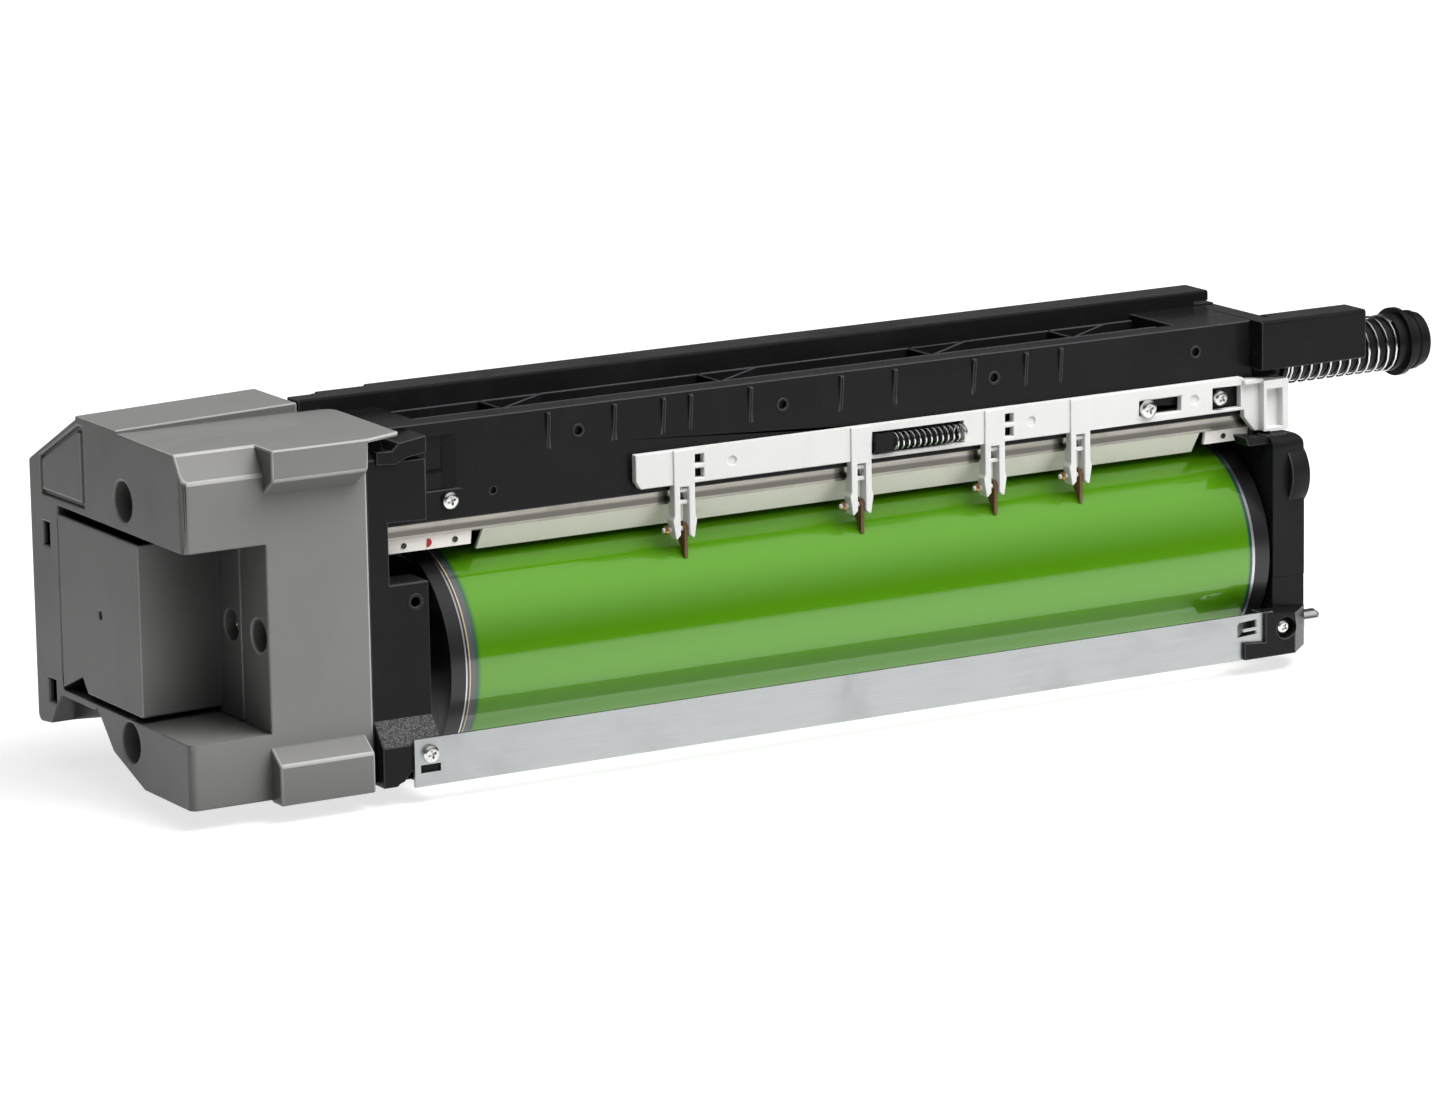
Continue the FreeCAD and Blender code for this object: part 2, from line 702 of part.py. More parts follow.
def blade():
    """Steel holder with the cleaning blade whose edge trails on the drum."""
    edge_y = 7.5
    gap = 0.35
    edge_z = root(D.drum_radius * D.drum_radius - edge_y * edge_y) + gap
    left = TUBE_LEFT + 6
    right = TUBE_RIGHT - 4
    back = D.housing_back - D.beam_wall
    holder = new_body("blade_bracket")
    pad(holder, "YZ", [[(edge_y + 6.6, edge_z + 5.2), (edge_y + 7.9, edge_z + 3.9), (back - 1.2, 56.5),
                        (back, 58), (back, 72), (back - 1.5, 72), (back - 1.5, 58.6)]],
        FRONT_IN, DRIVE_IN)
    strip = new_body("cleaning_blade")
    pad(strip, "YZ", [[(edge_y, edge_z), (edge_y + 7.9, edge_z + 3.9), (edge_y + 6.6, edge_z + 5.2),
                       (edge_y - 0.9, edge_z + 1.5)]], left, right)
    seat = back - 1.5
    length = D.housing_back - seat
    members = [screw("+Y", place, seat, BLADE_SCREW_LEVEL, 3, 2, D.blade_screw_radius, length)
               for place in BLADE_SCREW_PLACES]
    grouped("blade_screws", members)
    holes = [("circle", place, BLADE_SCREW_LEVEL, D.blade_screw_radius) for place in BLADE_SCREW_PLACES]
    pocket(holder, "XZ", holes, seat, back)


# Picker

BAR_LEFT = along(-280.2)
HOLDER_PLACES = {"front": along(-259.7), "second": along(-181.9), "third": along(-121.6),
                 "drive": along(-82.3)}
PIVOT_REACH = D.drum_radius + D.pivot_gap
PIVOT_Z = root(PIVOT_REACH * PIVOT_REACH - D.pivot_y * D.pivot_y)
FINGER_SHIFT = 1.0
PRONG = 2.6
PIN_REACH = 8.0
MANDREL_Z = 63.7
MANDREL_LEFT = HOLDER_PLACES["second"] + 5.6
SPRING_LEFT = MANDREL_LEFT + 8.3
SPRING_RIGHT = SPRING_LEFT + 32.6


def picker_slider():
    """White bar with slots, four pronged finger holders and the cam block at the drive end."""
    body = new_body("picker_slider")
    face = -D.bar_face
    back = face + D.bar_wall
    outline = [(BAR_LEFT, D.bar_bottom + 3), (BAR_LEFT + 2, D.bar_bottom), (D.bar_right, D.bar_bottom),
               (D.bar_right, D.block_bottom + 6), (D.bar_right + 5, D.block_bottom),
               (D.block_right, D.block_bottom), (D.block_right, D.bar_top - 2),
               (D.bar_right, D.bar_top - 1), (D.bar_right - 1, D.bar_top),
               (BAR_LEFT, D.bar_top)]
    pad(body, "XZ", [outline], face, back)
    holders(body, face, back)
    cam_left = D.bar_right + 7
    pad(body, "XZ", [block(cam_left, D.block_right, D.block_bottom, D.bar_top - 2)], face - 3.4, face)
    pocket(body, "XZ", [block(cam_left + 1.6, D.block_right - 3, D.block_bottom + 1.4, D.bar_top - 5.6)],
           face - 3.4, face)
    pad(body, "XZ", [block(D.bar_right - 1.2, cam_left + 0.5, D.bar_top - 2.9, D.bar_top - 1)],
        face - 2.2, face + 0.5)
    slots = [bevel_block(-54.5, -34.8, 60.5, 66.5, 0.6), block(-19.9, -6.6, 58.9, 67.7),
             block(MANDREL_LEFT - 0.4, SPRING_RIGHT, 59.3, 68.1),
             block(HOLDER_PLACES["second"] + 5.2, HOLDER_PLACES["second"] + 6.4, 59.5, 68.2)]
    for place in (HOLDER_PLACES["front"], HOLDER_PLACES["third"]):
        slots += [block(place + 5.1, place + 8.9, low, low + 3.6) for low in (59.4, 64.8)]
    pocket(body, "XZ", slots, face - 1, back)
    dimples = [("circle", place, 64.2, 1.8) for place in (along(-238.5), along(-104.5), -28.5)]
    pocket(body, "XZ", dimples, face, face + 0.6)


def holders(body, face, back):
    """Prongs with webs that hang from the bar, in pairs with one finger between them."""
    wide = D.holder_width / 2
    low = PIVOT_Z - D.prong_tail
    plates = []
    prongs = []
    tails = []
    webs = []
    for place in HOLDER_PLACES.values():
        plates.append(block(place - wide, place + wide, D.bar_bottom - 1, D.bar_top))
        for level in (D.bar_bottom - 3.2, D.bar_bottom - 7.8):
            webs.append(block(place - wide + 1, place + wide - 1, level, level + 1.6))
        for side in (-1, 1):
            inner = place + side * (wide - PRONG)
            outer = place + side * wide
            tail = [(outer, low + 9), (outer + side * 0.7, low + 7.4), (outer - side * 0.4, low + 0.6),
                    (outer - side * 1.0, low), (inner, low + 1.5)]
            prongs.append([(outer, D.bar_bottom + 1)] + tail + [(inner, D.bar_bottom + 1)])
            tails.append([(outer, low + 14)] + tail + [(inner, low + 14)])
    pad(body, "XZ", plates, face - 0.7, face + 0.5)
    pad(body, "XZ", prongs, face - 0.7, back)
    pad(body, "XZ", tails, back - 0.5, D.pivot_y + D.pivot_radius + 0.8)
    pad(body, "XZ", webs, face + 0.6, face + 2.4)
    for place in HOLDER_PLACES.values():
        pad(body, "YZ", [("circle", D.pivot_y, PIVOT_Z, D.pivot_radius)], place - PIN_REACH,
            place + wide - 0.5)


def picker_finger(label, place):
    """Thin claw on the pin whose tip rides just off the drum."""
    body = new_body(f"picker_finger_{label}")
    eye = D.pivot_radius + 1.2
    tip_reach = D.drum_radius + D.tip_gap
    tip_y = tip_reach * -0.7265
    tip_z = tip_reach * 0.6872
    middle = place + FINGER_SHIFT
    low = middle - D.finger_wall / 2
    high = middle + D.finger_wall / 2
    pad(body, "YZ", [[(D.pivot_y - eye, PIVOT_Z), (D.pivot_y + eye * -0.9, PIVOT_Z - 3),
                      (tip_y, tip_z), (D.pivot_y + 3.0, PIVOT_Z - 5.0),
                      (D.pivot_y + eye, PIVOT_Z)]], low, high)
    pad(body, "YZ", [("circle", D.pivot_y, PIVOT_Z, eye)], low, high)
    pocket(body, "YZ", [("circle", D.pivot_y, PIVOT_Z, D.pivot_radius + D.running_gap)], low, high)


def coil(label, axis_start, radius, wire, turns, length, clear):
    """Compression spring along X, of square wire section, between two seats."""
    pitch = (length - wire - 2 * clear) / turns
    helix = Part.makeHelix(pitch, pitch * turns, radius)
    half = wire / 2
    corners = [Vector(radius - half, 0, -half), Vector(radius + half, 0, -half),
               Vector(radius + half, 0, half), Vector(radius - half, 0, half)]
    section = Part.makePolygon(corners + corners[:1])
    sweep = Part.BRepOffsetAPI.MakePipeShell(helix)
    sweep.setFrenetMode(True)
    sweep.add(section)
    sweep.build()
    sweep.makeSolid()
    feature = doc.addObject("Part::Feature", label)
    feature.Shape = sweep.shape()
    along_x = FreeCAD.Rotation(Vector(0, 1, 0), 90)
    feature.Placement = FreeCAD.Placement(axis_start + Vector(half + clear, 0, 0), along_x)
    return keep(feature, label)


def picker_parts():
    coil_length = 1.9
    for label, place in HOLDER_PLACES.items():
        picker_finger(label, place)
        start = Vector((place - PIN_REACH + 0.6).value, D.pivot_y.value, PIVOT_Z.value)
        coil(f"finger_spring_{label}", start, D.pivot_radius.value + 0.45, 0.4, 3, coil_length, 0.0)
    face = -D.beam_face
    axis_y = face - D.slider_spring_radius - GAP
    carrier = new_body("spring_mandrel")
    pad(carrier, "XZ", [block(MANDREL_LEFT, SPRING_LEFT, MANDREL_Z - 3.6, MANDREL_Z + 3.6)],
        axis_y - 1.8, face)
    pad(carrier, "YZ", [("circle", axis_y, MANDREL_Z, D.slider_spring_radius - 1.6)], SPRING_LEFT - 0.5,
        SPRING_RIGHT - D.slide_travel - GAP)
    coil("slider_spring", Vector(SPRING_LEFT.value, axis_y.value, MANDREL_Z),
         (D.slider_spring_radius - D.slider_wire / 2).value, D.slider_wire.value,
         int(D.slider_turns.value), (SPRING_RIGHT - SPRING_LEFT).value, 0.15)
    inside = face + D.beam_wall
    members = []
    for (x, z), head_seat, head in zip(SLIDER_SCREWS, (-D.bar_face - GAP, -D.bar_face + 0.4), (3.6, 3.0)):
        members.append(screw("+Y", x, head_seat, z, head, 1.9, D.screw_radius, inside - head_seat))
    grouped("slider_screws", members)
    x, z = HOUSING_SCREW
    grouped("housing_screw", [screw("+Y", x, face, z, 3.4, 2.2, D.screw_radius, D.beam_wall)])


# End frames

def feet(body, low, high):
    """Two rests under an end frame."""
    for start in (-D.front_foot_y, D.rear_foot_y):
        pad(body, "YZ", [block(start, start + D.foot_length, FLOOR, -20.0)], low, high)


def bearing_seat(body, low, high):
    """Opening behind the drum bearing; returns the radius of its seat."""
    outer = D.journal_radius + D.bearing_ring
    pocket(body, "YZ", [("circle", 0, 0, outer - 2)], low - 1, high + 1)
    return outer


PLATE_SCREW = (FRONT_OUT + 19, -26.2)
BRACKET_SCREW = (1.2, -27.4)
PIN_START = 5.8
PIN_Y = -37.0
PIN_Z = -28.6


def front_frame():
    body = new_body("front_frame")
    profile = [(-D.column_face, -D.cover_bottom + 0.2), (-2.9, -D.cover_bottom + 0.2), (24, -28),
               (46, -21), (80, -28.4), (D.cover_back - 0.3, -25.4), (D.cover_back - 0.3, 72.2),
               (46.6, D.cover_top - 0.6), (D.rail_front - 0.2, D.cover_top - 0.6),
               (D.rail_front - 0.2, D.cover_top - D.lip_wall - 0.3),
               (-36.4, D.cover_top - D.lip_wall - 0.3), (-D.column_face, 84)]
    pad(body, "YZ", [profile], FRONT_OUT, FRONT_IN)
    feet(body, FRONT_OUT, FRONT_IN)
    column = -D.column_face
    back = -D.beam_face
    plate_back = -D.plate_face + D.plate_wall
    # column in two stretches, with the strip window between them
    stretches = [[(FRONT_IN - 1, 60), (COLUMN_RIGHT, 59.4), (COLUMN_RIGHT, 82.5), (FRONT_IN - 1, 82.5)],
                 [(FRONT_IN - 1, -14), (COLUMN_RIGHT, -14), (COLUMN_RIGHT, 36.8), (FRONT_IN - 1, 36.8)]]
    pad(body, "XZ", stretches, column, back)
    # textured slope, foot and the seat of the tie plate
    pad(body, "YZ", [[(column, -13.4), (plate_back, -22.2), (plate_back, -37.4), (back, -37.4),
                      (back, -13.4)]], FRONT_OUT + 0.4, COLUMN_RIGHT)
    notch = [(4.9, -38.5), (6.9, -36.4), (9.1, -35.8), (11.9, -32.5), (15.5, -32.5), (15.5, -38.5)]
    pocket(body, "XZ", [[(FRONT_OUT + offset, z) for offset, z in notch]], plate_back - 1, plate_back + 8)
    pocket(body, "XZ", [("circle", PLATE_SCREW[0], PLATE_SCREW[1], 1.6)], plate_back, plate_back + 6)
    # latch ledge above the column
    ledge = [(3.8, 82.3), (11.9, 81.6), (16.0, 83.6), (24.4, 84.8), (24.4, 91.2), (13.1, 89.6),
             (10.1, 86.9), (3.8, 87.2)]
    pad(body, "XZ", [[(FRONT_OUT + offset, z) for offset, z in ledge]], column - 1.2, back)
    # guide hole with a raised rim
    guide = (FRONT_OUT + 18.8, 29.4)
    pad(body, "XZ", [("circle", *guide, 3.2)], column - 0.4, column + 0.5)
    pocket(body, "XZ", [("circle", *guide, 1.9)], column - 0.4, column + 8)
    outer = bearing_seat(body, FRONT_OUT, FRONT_IN)
    pocket(body, "YZ", [("circle", 0, 0, outer)], FRONT_OUT - 1, FRONT_OUT + D.bearing_width)
    pocket(body, "YZ", [("circle", D.auger_y, D.auger_z, D.auger_shaft + 3)], FRONT_OUT - 1, FRONT_IN + 1)
    y, z = idler_centre()
    pocket(body, "YZ", [("circle", y, z, D.stud_radius)], FRONT_OUT - 1, FRONT_IN + 1)
    fixings = [("circle", place_y, place_z, D.cover_screw_radius) for place_y, place_z in COVER_BOSSES]
    pocket(body, "YZ", fixings, FRONT_OUT - 1, FRONT_IN + 1)
    pocket(body, "YZ", [block(D.rail_front - 0.2, D.rail_back + 0.2, D.rail_top - D.beam_wall - 3,
                              D.rail_top + 1)], FRONT_OUT - 1, FRONT_IN + 1)
    return body


def drive_frame():
    body = new_body("drive_frame")
    face = -D.column_face
    profile = [(face, -38.0), (-12, -38.0), (-8, -40.0), (60, -40.0), (82, -28.0), (84, 68.0),
               (46, 88.0), (30, 95.0), (12, 95.0), (12, D.beam_top), (-D.beam_face, D.beam_top),
               (-D.beam_face, 47.0), (-33, 47.0), (face, D.post_top - 1.4)]
    pad(body, "YZ", [profile], DRIVE_IN, DRIVE_OUT)
    feet(body, DRIVE_IN, DRIVE_OUT)
    # post with rounded shoulder, and the half round boss on it
    top = D.post_top
    post = [(DRIVE_IN, -22.5), (POST_RIGHT, -24.0), (POST_RIGHT, top, 3.4), (DRIVE_IN, top)]
    pad(body, "XZ", [post], face, face + 11)
    pocket(body, "YZ", [[(face - 1, top - 7), (face, top - 7), (face, top, 5.0), (face + 7, top),
                         (face + 7, top + 1), (face - 1, top + 1)]], DRIVE_IN - 1, POST_RIGHT + 1)
    # shallow step low on the front of the post
    pocket(body, "XZ", [block(DRIVE_IN - 1, POST_RIGHT + 1, -26, -9)], face - 1, face + 0.3)
    pad(body, "YZ", [("circle", face + 11.3, 31.0, 14.8)], DRIVE_IN + 7.2, POST_RIGHT + 0.6)
    # plate bracket with stepped left side, screw cup and slanted right side
    slant = D.bracket_right
    bracket = [(-18.6, -38.2), (slant, -38.2), (slant, -21.6), (-8.6, -20.6), (-8.6, -32.0),
               (-18.6, -31.2)]
    front = -D.plate_face - 1.8
    pad(body, "XZ", [bracket], front, face + 0.5)
    pad(body, "XY", [[(slant - 1, front), (slant, front), (POST_RIGHT, face), (POST_RIGHT, face + 11),
                      (DRIVE_IN, face + 11), (DRIVE_IN, face)]], -38.2, -21.8)
    # slit that takes the right end of the tie plate
    pocket(body, "XZ", [block(-19.6, D.plate_right + GAP, -D.plate_top - D.plate_height - 1,
                              -D.plate_top + 0.2)], -D.plate_face - 0.02, -D.plate_face + D.plate_wall + 0.02)
    x, z = BRACKET_SCREW
    pocket(body, "XZ", [("circle", x, z, 4.3)], front - 1, front + 3.4)
    pocket(body, "XZ", [("circle", x, z, D.blade_screw_radius)], front, front + 12)
    # shelf at the drive end of the cleaner strips
    pad(body, "XZ", [[(-8.0, 44.4), (DRIVE_IN + 0.5, 44.4), (DRIVE_IN + 0.5, 47.2), (-9.4, 48.0)]],
        -39.0, -29.6)
    outer = bearing_seat(body, DRIVE_IN, DRIVE_OUT)
    pocket(body, "YZ", [("circle", 0, 0, outer)], DRIVE_IN - 1, DRIVE_IN + D.bearing_width)
    pocket(body, "YZ", [("circle", D.auger_y, D.auger_z, D.outlet_radius)], DRIVE_IN - 1, DRIVE_OUT + 1)
    pocket(body, "YZ", [("circle", PIN_Y, PIN_Z, D.pin_radius - 1)], PIN_START, POST_RIGHT + 1)
    pocket(body, "YZ", [block(D.rail_front - 0.2, D.rail_back + 0.2, D.rail_top - D.beam_wall - 3,
                              D.rail_top + 1)], DRIVE_IN - 1, DRIVE_OUT + 1)
    # weight saving panel in the outer face
    pocket(body, "YZ", [[(24, -32), (76, -25), (77, 62), (44, 80), (-6, 80), (30, 40)]],
           DRIVE_OUT - 3.5, DRIVE_OUT + 1)
    return body


def bearings_and_pin():
    ring = [D.journal_radius + D.running_gap, D.journal_radius + D.bearing_ring]
    turned("front_bearing", block(FRONT_OUT, FRONT_OUT + D.bearing_width, ring[0], ring[1]), 0, 0)
    turned("drive_bearing", block(DRIVE_IN, DRIVE_IN + D.bearing_width, ring[0], ring[1]), 0, 0)
    end = D.pin_end
    shoulder = POST_RIGHT
    shank = D.pin_radius - 1
    turned("locating_pin", [(PIN_START, 0), (PIN_START, shank), (shoulder, shank),
                            (shoulder, D.pin_radius), (end - 1.5, D.pin_radius),
                            (end, D.pin_radius - 1), (end, 0)], PIN_Y, PIN_Z)


# Outlet

def outlet():
    axis_y, axis_z = D.auger_y, D.auger_z
    bore = D.outlet_bore
    outer = D.outlet_radius
    end = D.outlet_end
    seat = D.seat_x
    tube = turned("outlet_tube", [(DRIVE_IN, bore), (end, bore), (end, outer), (seat + 2, outer),
                                  (seat + 2, D.spring_radius), (seat, D.spring_radius), (seat, outer),
                                  (DRIVE_IN, outer)], axis_y, axis_z)
    pocket(tube, "XY", [bevel_block(end - 12, end - 3, -6, 6, 2)], -outer - 1, -bore + 1.5)
    sleeve_in = outer + 0.2
    sleeve_out = sleeve_in + D.shutter_wall
    start = end - D.shutter_length - 0.3
    finish = end - 0.3
    flange = start + 4.2
    turned("outlet_shutter", [(start, sleeve_in), (finish, sleeve_in), (finish, sleeve_out + 0.4),
                              (finish - 2, sleeve_out + 0.4), (finish - 2, sleeve_out),
                              (flange + 2.2, sleeve_out), (flange + 2.2, D.shutter_flange),
                              (flange, D.shutter_flange), (flange, sleeve_out), (start, sleeve_out)],
           axis_y, axis_z)
    socket = D.auger_shaft + D.running_gap
    turned("tube_end_cap", [(end - 5, socket), (end + 1.4, socket), (end + 1.4, 0), (end + 2.6, 0),
                            (end + 2.6, outer + 0.7), (end, outer + 0.7), (end, bore), (end - 3, bore),
                            (end - 3, bore - 1.5), (end, bore - 1.5), (end, D.auger_shaft + 2),
                            (end - 5, D.auger_shaft + 2)], axis_y, axis_z)
    length = start - seat - 2
    coil("shutter_spring", Vector((seat + 2).value, axis_y.value, axis_z.value),
         outer.value + 0.35 + D.spring_wire.value / 2, D.spring_wire.value,
         int(D.spring_turns.value), length.value, 0.2)


def tube_guard():
    """Box shaped guard over the outlet tube, open underneath and at its free end."""
    body = new_body("tube_guard")
    wall = D.beam_wall
    face = -37.0
    top = 93.0
    low = 73.4
    back = -D.beam_face
    right = 49.8
    section = [(face, low, 0.8), (face + wall, low), (face + wall, top - wall), (-24.5, top - wall),
               (-8.6, 87.4), (-7.6, 89.4), (-23.0, top), (face, top, 1.4)]
    pad(body, "YZ", [section], DRIVE_OUT, right)
    nose = [(face, low, 0.8), (back, low), (back, top), (face, top, 1.4)]
    pad(body, "YZ", [nose], -0.1, DRIVE_OUT + wall)
    pocket(body, "YZ", [block(face + wall, back + 1, low - 1, top - wall)], DRIVE_OUT, DRIVE_OUT + 3)
    # clearance for the outlet tube behind the nose
    pocket(body, "YZ", [("circle", D.auger_y, D.auger_z, D.outlet_radius)], DRIVE_IN - 2, DRIVE_OUT)


# Tie plate and rear parts

def tie_plate():
    body = new_body("tie_plate")
    face = -D.plate_face
    top = -D.plate_top
    low = top - D.plate_height
    pad(body, "XZ", [block(PLATE_LEFT, D.plate_right, low, top)], face, face + D.plate_wall)
    pocket(body, "XZ", [block(FRONT_OUT + 15.1, FRONT_OUT + 23.4, -33.2, -30.2)], face,
           face + D.plate_wall)
    x, z = PLATE_SCREW
    pocket(body, "XZ", [("circle", x, z, 1.6)], face, face + D.plate_wall)
    window = [(-21.0, -29.0), (-11.8, -28.4), (-11.8, -26.9), (-18.0, -27.2), (-18.0, -25.9),
              (-11.8, -25.6), (-11.8, -22.6), (-21.0, -23.2)]
    pocket(body, "XZ", [window], face, face + D.plate_wall)
    return body


def plate_screws():
    seat = -D.plate_face
    cup = seat - 1.8 + 3.4
    members = [screw("+Y", PLATE_SCREW[0], seat, PLATE_SCREW[1], 3.4, 2.0, 1.6, 6.0),
               screw("+Y", BRACKET_SCREW[0], cup, BRACKET_SCREW[1], 2.9, 1.9, D.blade_screw_radius, 7.0)]
    grouped("tie_plate_screws", members)


def charger():
    """Scorotron behind the drum: shield, grid, wire and the blocks at its ends."""
    front = D.drum_radius + D.charger_gap
    back = front + D.charger_depth
    low = D.charger_bottom
    high = low + D.charger_height
    wall = D.charger_wall
    left = FRONT_IN + 14
    right = DRIVE_IN - 14
    shield = new_body("charger_shield")
    pad(shield, "YZ", [[(front, low), (back, low), (back, high), (front, high), (front, high - wall),
                        (back - wall, high - wall), (back - wall, low + wall), (front, low + wall)]],
        left, right)
    grid = new_body("charger_grid")
    pad(grid, "YZ", [block(front - 0.8, front, low, high)], left, right)
    count = 12
    span = (right - left).value / count
    for index in range(count):
        start = left + span * index + 1.5
        pocket(grid, "XZ", [block(start, start + span - 3, low + 3, high - 3)], front - 0.8, front)
    wire = rod("+X", left, (front + back) / 2, (low + high) / 2, 0.3, right - left)
    keep(wire, "charger_wire")
    for label, start, end in (("charger_front_block", FRONT_IN, left),
                              ("charger_drive_block", right, DRIVE_IN)):
        piece = new_body(label)
        pad(piece, "YZ", [bevel_block(front - 0.8, back + 1, low - 1, high + 1, 1.5)], start, end)


def rear_parts():
    wall = D.beam_wall
    hood = new_body("charger_cover")
    pad(hood, "YZ", [[(D.housing_back, D.deck_level - wall), (45, D.deck_level - wall), (81.5, 66.6),
                      (81.5, 34), (81.5 + wall, 34), (81.5 + wall, 68), (45.6, D.deck_level),
                      (D.housing_back, D.deck_level)]], FRONT_IN, DRIVE_IN)
    rail = new_body("rear_tie_rail")
    pad(rail, "YZ", [[(56, -39), (58.2, -39), (58.2, -30.2), (71.8, -30.2), (71.8, -39), (74, -39),
                      (74, -28, 1.2), (56, -28, 1.2)]], FRONT_IN, DRIVE_IN)


# Front cover

COVER_BOSSES = ((7.7, 69.4), (7.9, -21.1), (-34.0, 22.9))
INNER_BOSS = (-11.4, 22.8)
SCREW_FLOOR = FRONT_OUT - D.gear_offset - D.gear_width - 4


def cover_profile(inset):
    """Side view of the cover; an inset of one wall gives its inside."""
    back = D.cover_back - inset
    return [(-D.cover_face + inset, -D.cover_bottom + inset), (-2.9, -D.cover_bottom + inset),
            (23.1 + inset * -0.5, -27.3 + inset), (36.3 + inset * -0.2, -13.4 + inset),
            (46.1, -20.0 + inset), (78.0 + inset * -0.2, -27.5 + inset), (back, -28.6 + inset, 3.0 - inset),
            (back, 72.5 - inset * 0.4), (46.8 + inset * -0.3, D.cover_top - inset),
            (-36.1 + inset * 0.3, D.cover_top - inset), (-D.cover_face + inset, 84.0 - inset * 0.4)]


def front_cover():
    body = new_body("front_cover")
    wall = D.cover_wall
    pad(body, "YZ", [cover_profile(as_size(0))], COVER_LEFT, FRONT_OUT)
    round_edges(body)
    pocket(body, "YZ", [cover_profile(wall)], COVER_LEFT + wall, FRONT_OUT)
    face = -D.cover_face
    low = -D.grip_bottom
    high = D.grip_top
    # lining of the finger recess
    back = D.window_back
    pad(body, "YZ", [block(face + 0.5, back + wall, low - wall, high + wall)], COVER_LEFT + 0.5,
        GRIP_RIGHT + wall)
    pocket(body, "YZ", [block(face - 1, back, low, high)], COVER_LEFT - 1, GRIP_RIGHT)
    pocket(body, "YZ", [block(-D.inner_edge - D.seam, back, low, high)], GRIP_RIGHT - 1,
           GRIP_RIGHT + wall + 1)
    side_recess(body)
    # raised front blocks
    left = GRIP_RIGHT - 0.5
    top = D.cover_top
    block_face = face - D.block_reach
    pad(body, "YZ", [[(face + 0.5, 76.5), (block_face, 82.5), (block_face, top), (face + 9, top),
                      (face + 9, top - wall), (face + 0.5, top - 12)]], left, FRONT_OUT - 3)
    pad(body, "YZ", [[(face + 0.5, -17.0), (face + 0.5, -37.9), (block_face, -37.9), (block_face, -22.8)]],
        left, FRONT_OUT - 3.4)
    # top lip over the end frame
    lip_right = FRONT_OUT + D.lip_overhang
    pad(body, "XY", [[(FRONT_OUT - 4, block_face), (FRONT_OUT - 3, block_face), (lip_right, -44.0, 3),
                      (lip_right + 0.8, D.rail_front - 0.4, 6), (FRONT_OUT - 4, D.rail_front - 0.4)]],
        top - D.lip_wall, top)
    # rear plateau
    pad(body, "XZ", [[(COVER_LEFT, D.cover_top - 1), (FRONT_OUT - 0.2, D.cover_top - 1),
                      (FRONT_OUT - 0.2, D.cover_top + 3.4), (COVER_LEFT, D.cover_top + 1.2)]], 12.0, 46.6)
    # deep screw holes, which go on as slim posts beside the gears
    starts = (COVER_LEFT, COVER_LEFT, GRIP_RIGHT)
    for (y, z), start, radius in zip(COVER_BOSSES, starts, (9.2, 9.2, 7.6)):
        pad(body, "YZ", [("circle", y, z, radius)], start + 0.5, SCREW_FLOOR + 2.5)
        pocket(body, "YZ", [("circle", y, z, radius - 1.6)], start - 1, SCREW_FLOOR)
    pad(body, "YZ", [("circle", y, z, 3.4) for y, z in COVER_BOSSES], SCREW_FLOOR + 1, FRONT_OUT)
    screw_holes = [("circle", y, z, D.cover_screw_radius) for y, z in COVER_BOSSES]
    pocket(body, "YZ", screw_holes, SCREW_FLOOR - 0.5, FRONT_OUT + 1)
    # boss on a web for the screw of the inner cover
    y, z = INNER_BOSS
    pad(body, "YZ", [[(-D.inner_edge - 4, z - 4), (y, z - 4), (y, z + 4), (-D.inner_edge - 4, z + 4)]],
        GRIP_RIGHT + wall + 4.6, GRIP_RIGHT + 20)
    pad(body, "YZ", [block(-D.inner_edge - 4, -D.inner_edge - 1.5, z - 4, z + 4)], GRIP_RIGHT + 1,
        GRIP_RIGHT + 20)
    pad(body, "YZ", [("circle", y, z, 5.0)], GRIP_RIGHT + wall + 4.6, GRIP_RIGHT + 20)
    pocket(body, "YZ", [("circle", y, z, D.blade_screw_radius)], GRIP_RIGHT + 5, GRIP_RIGHT + 18)
    # two square holes in the rear strip, and the groove of the corner panel
    for z in (45.4, -14.8):
        pocket(body, "YZ", [block(73.0, 79.6, z - 4.5, z + 4.5)], COVER_LEFT - 1, COVER_LEFT + wall + 1)
    pocket(body, "YZ", [[(41.6, 91.4), (41.6, 60.9), (79.8, 60.4), (79.8, 74.6), (45.6, 91.4)],
                        [(43.2, 89.4), (43.2, 62.6), (78.4, 62.2), (78.4, 73.8), (46.0, 89.4)]],
           COVER_LEFT - 1, COVER_LEFT + 1.4)
    return body


def side_recess(body):
    """Recess under the inner cover at the rear bottom of the left wall, with its own walls."""
    depth = COVER_LEFT + 9
    pad(body, "YZ", [[(69.6, -14), (78.4, -26.9), (47.5, -19.9), (38.5, -14.5), (38.5, -14)]], depth,
        depth + 2)
    pad(body, "YZ", [[(67.2, -14), (77.0, -27.0), (79.4, -27.0), (70.0, -14)]], COVER_LEFT + 0.5, depth + 2)
    pocket(body, "YZ", [[(67.8, -14.8), (77.0, -27.0), (77.0, -45), (38, -45), (38, -14.8)]],
           COVER_LEFT - 1, depth)


def round_edges(body):
    """Rounds the upright corners between the left face and the front face."""
    doc.recompute()
    base = body.Tip
    x = COVER_LEFT.value
    y = -D.cover_face.value
    names = []
    for number, edge in enumerate(base.Shape.Edges, start=1):
        ends = [vertex.Point for vertex in edge.Vertexes]
        if len(ends) == 2 and all(abs(p.x - x) < 0.01 and abs(p.y - y) < 0.01 for p in ends):
            names.append(f"Edge{number}")
    fillet = body.newObject("PartDesign::Fillet", "corner_round")
    fillet.Base = (base, names)
    bind(fillet, "Radius", D.cover_round)


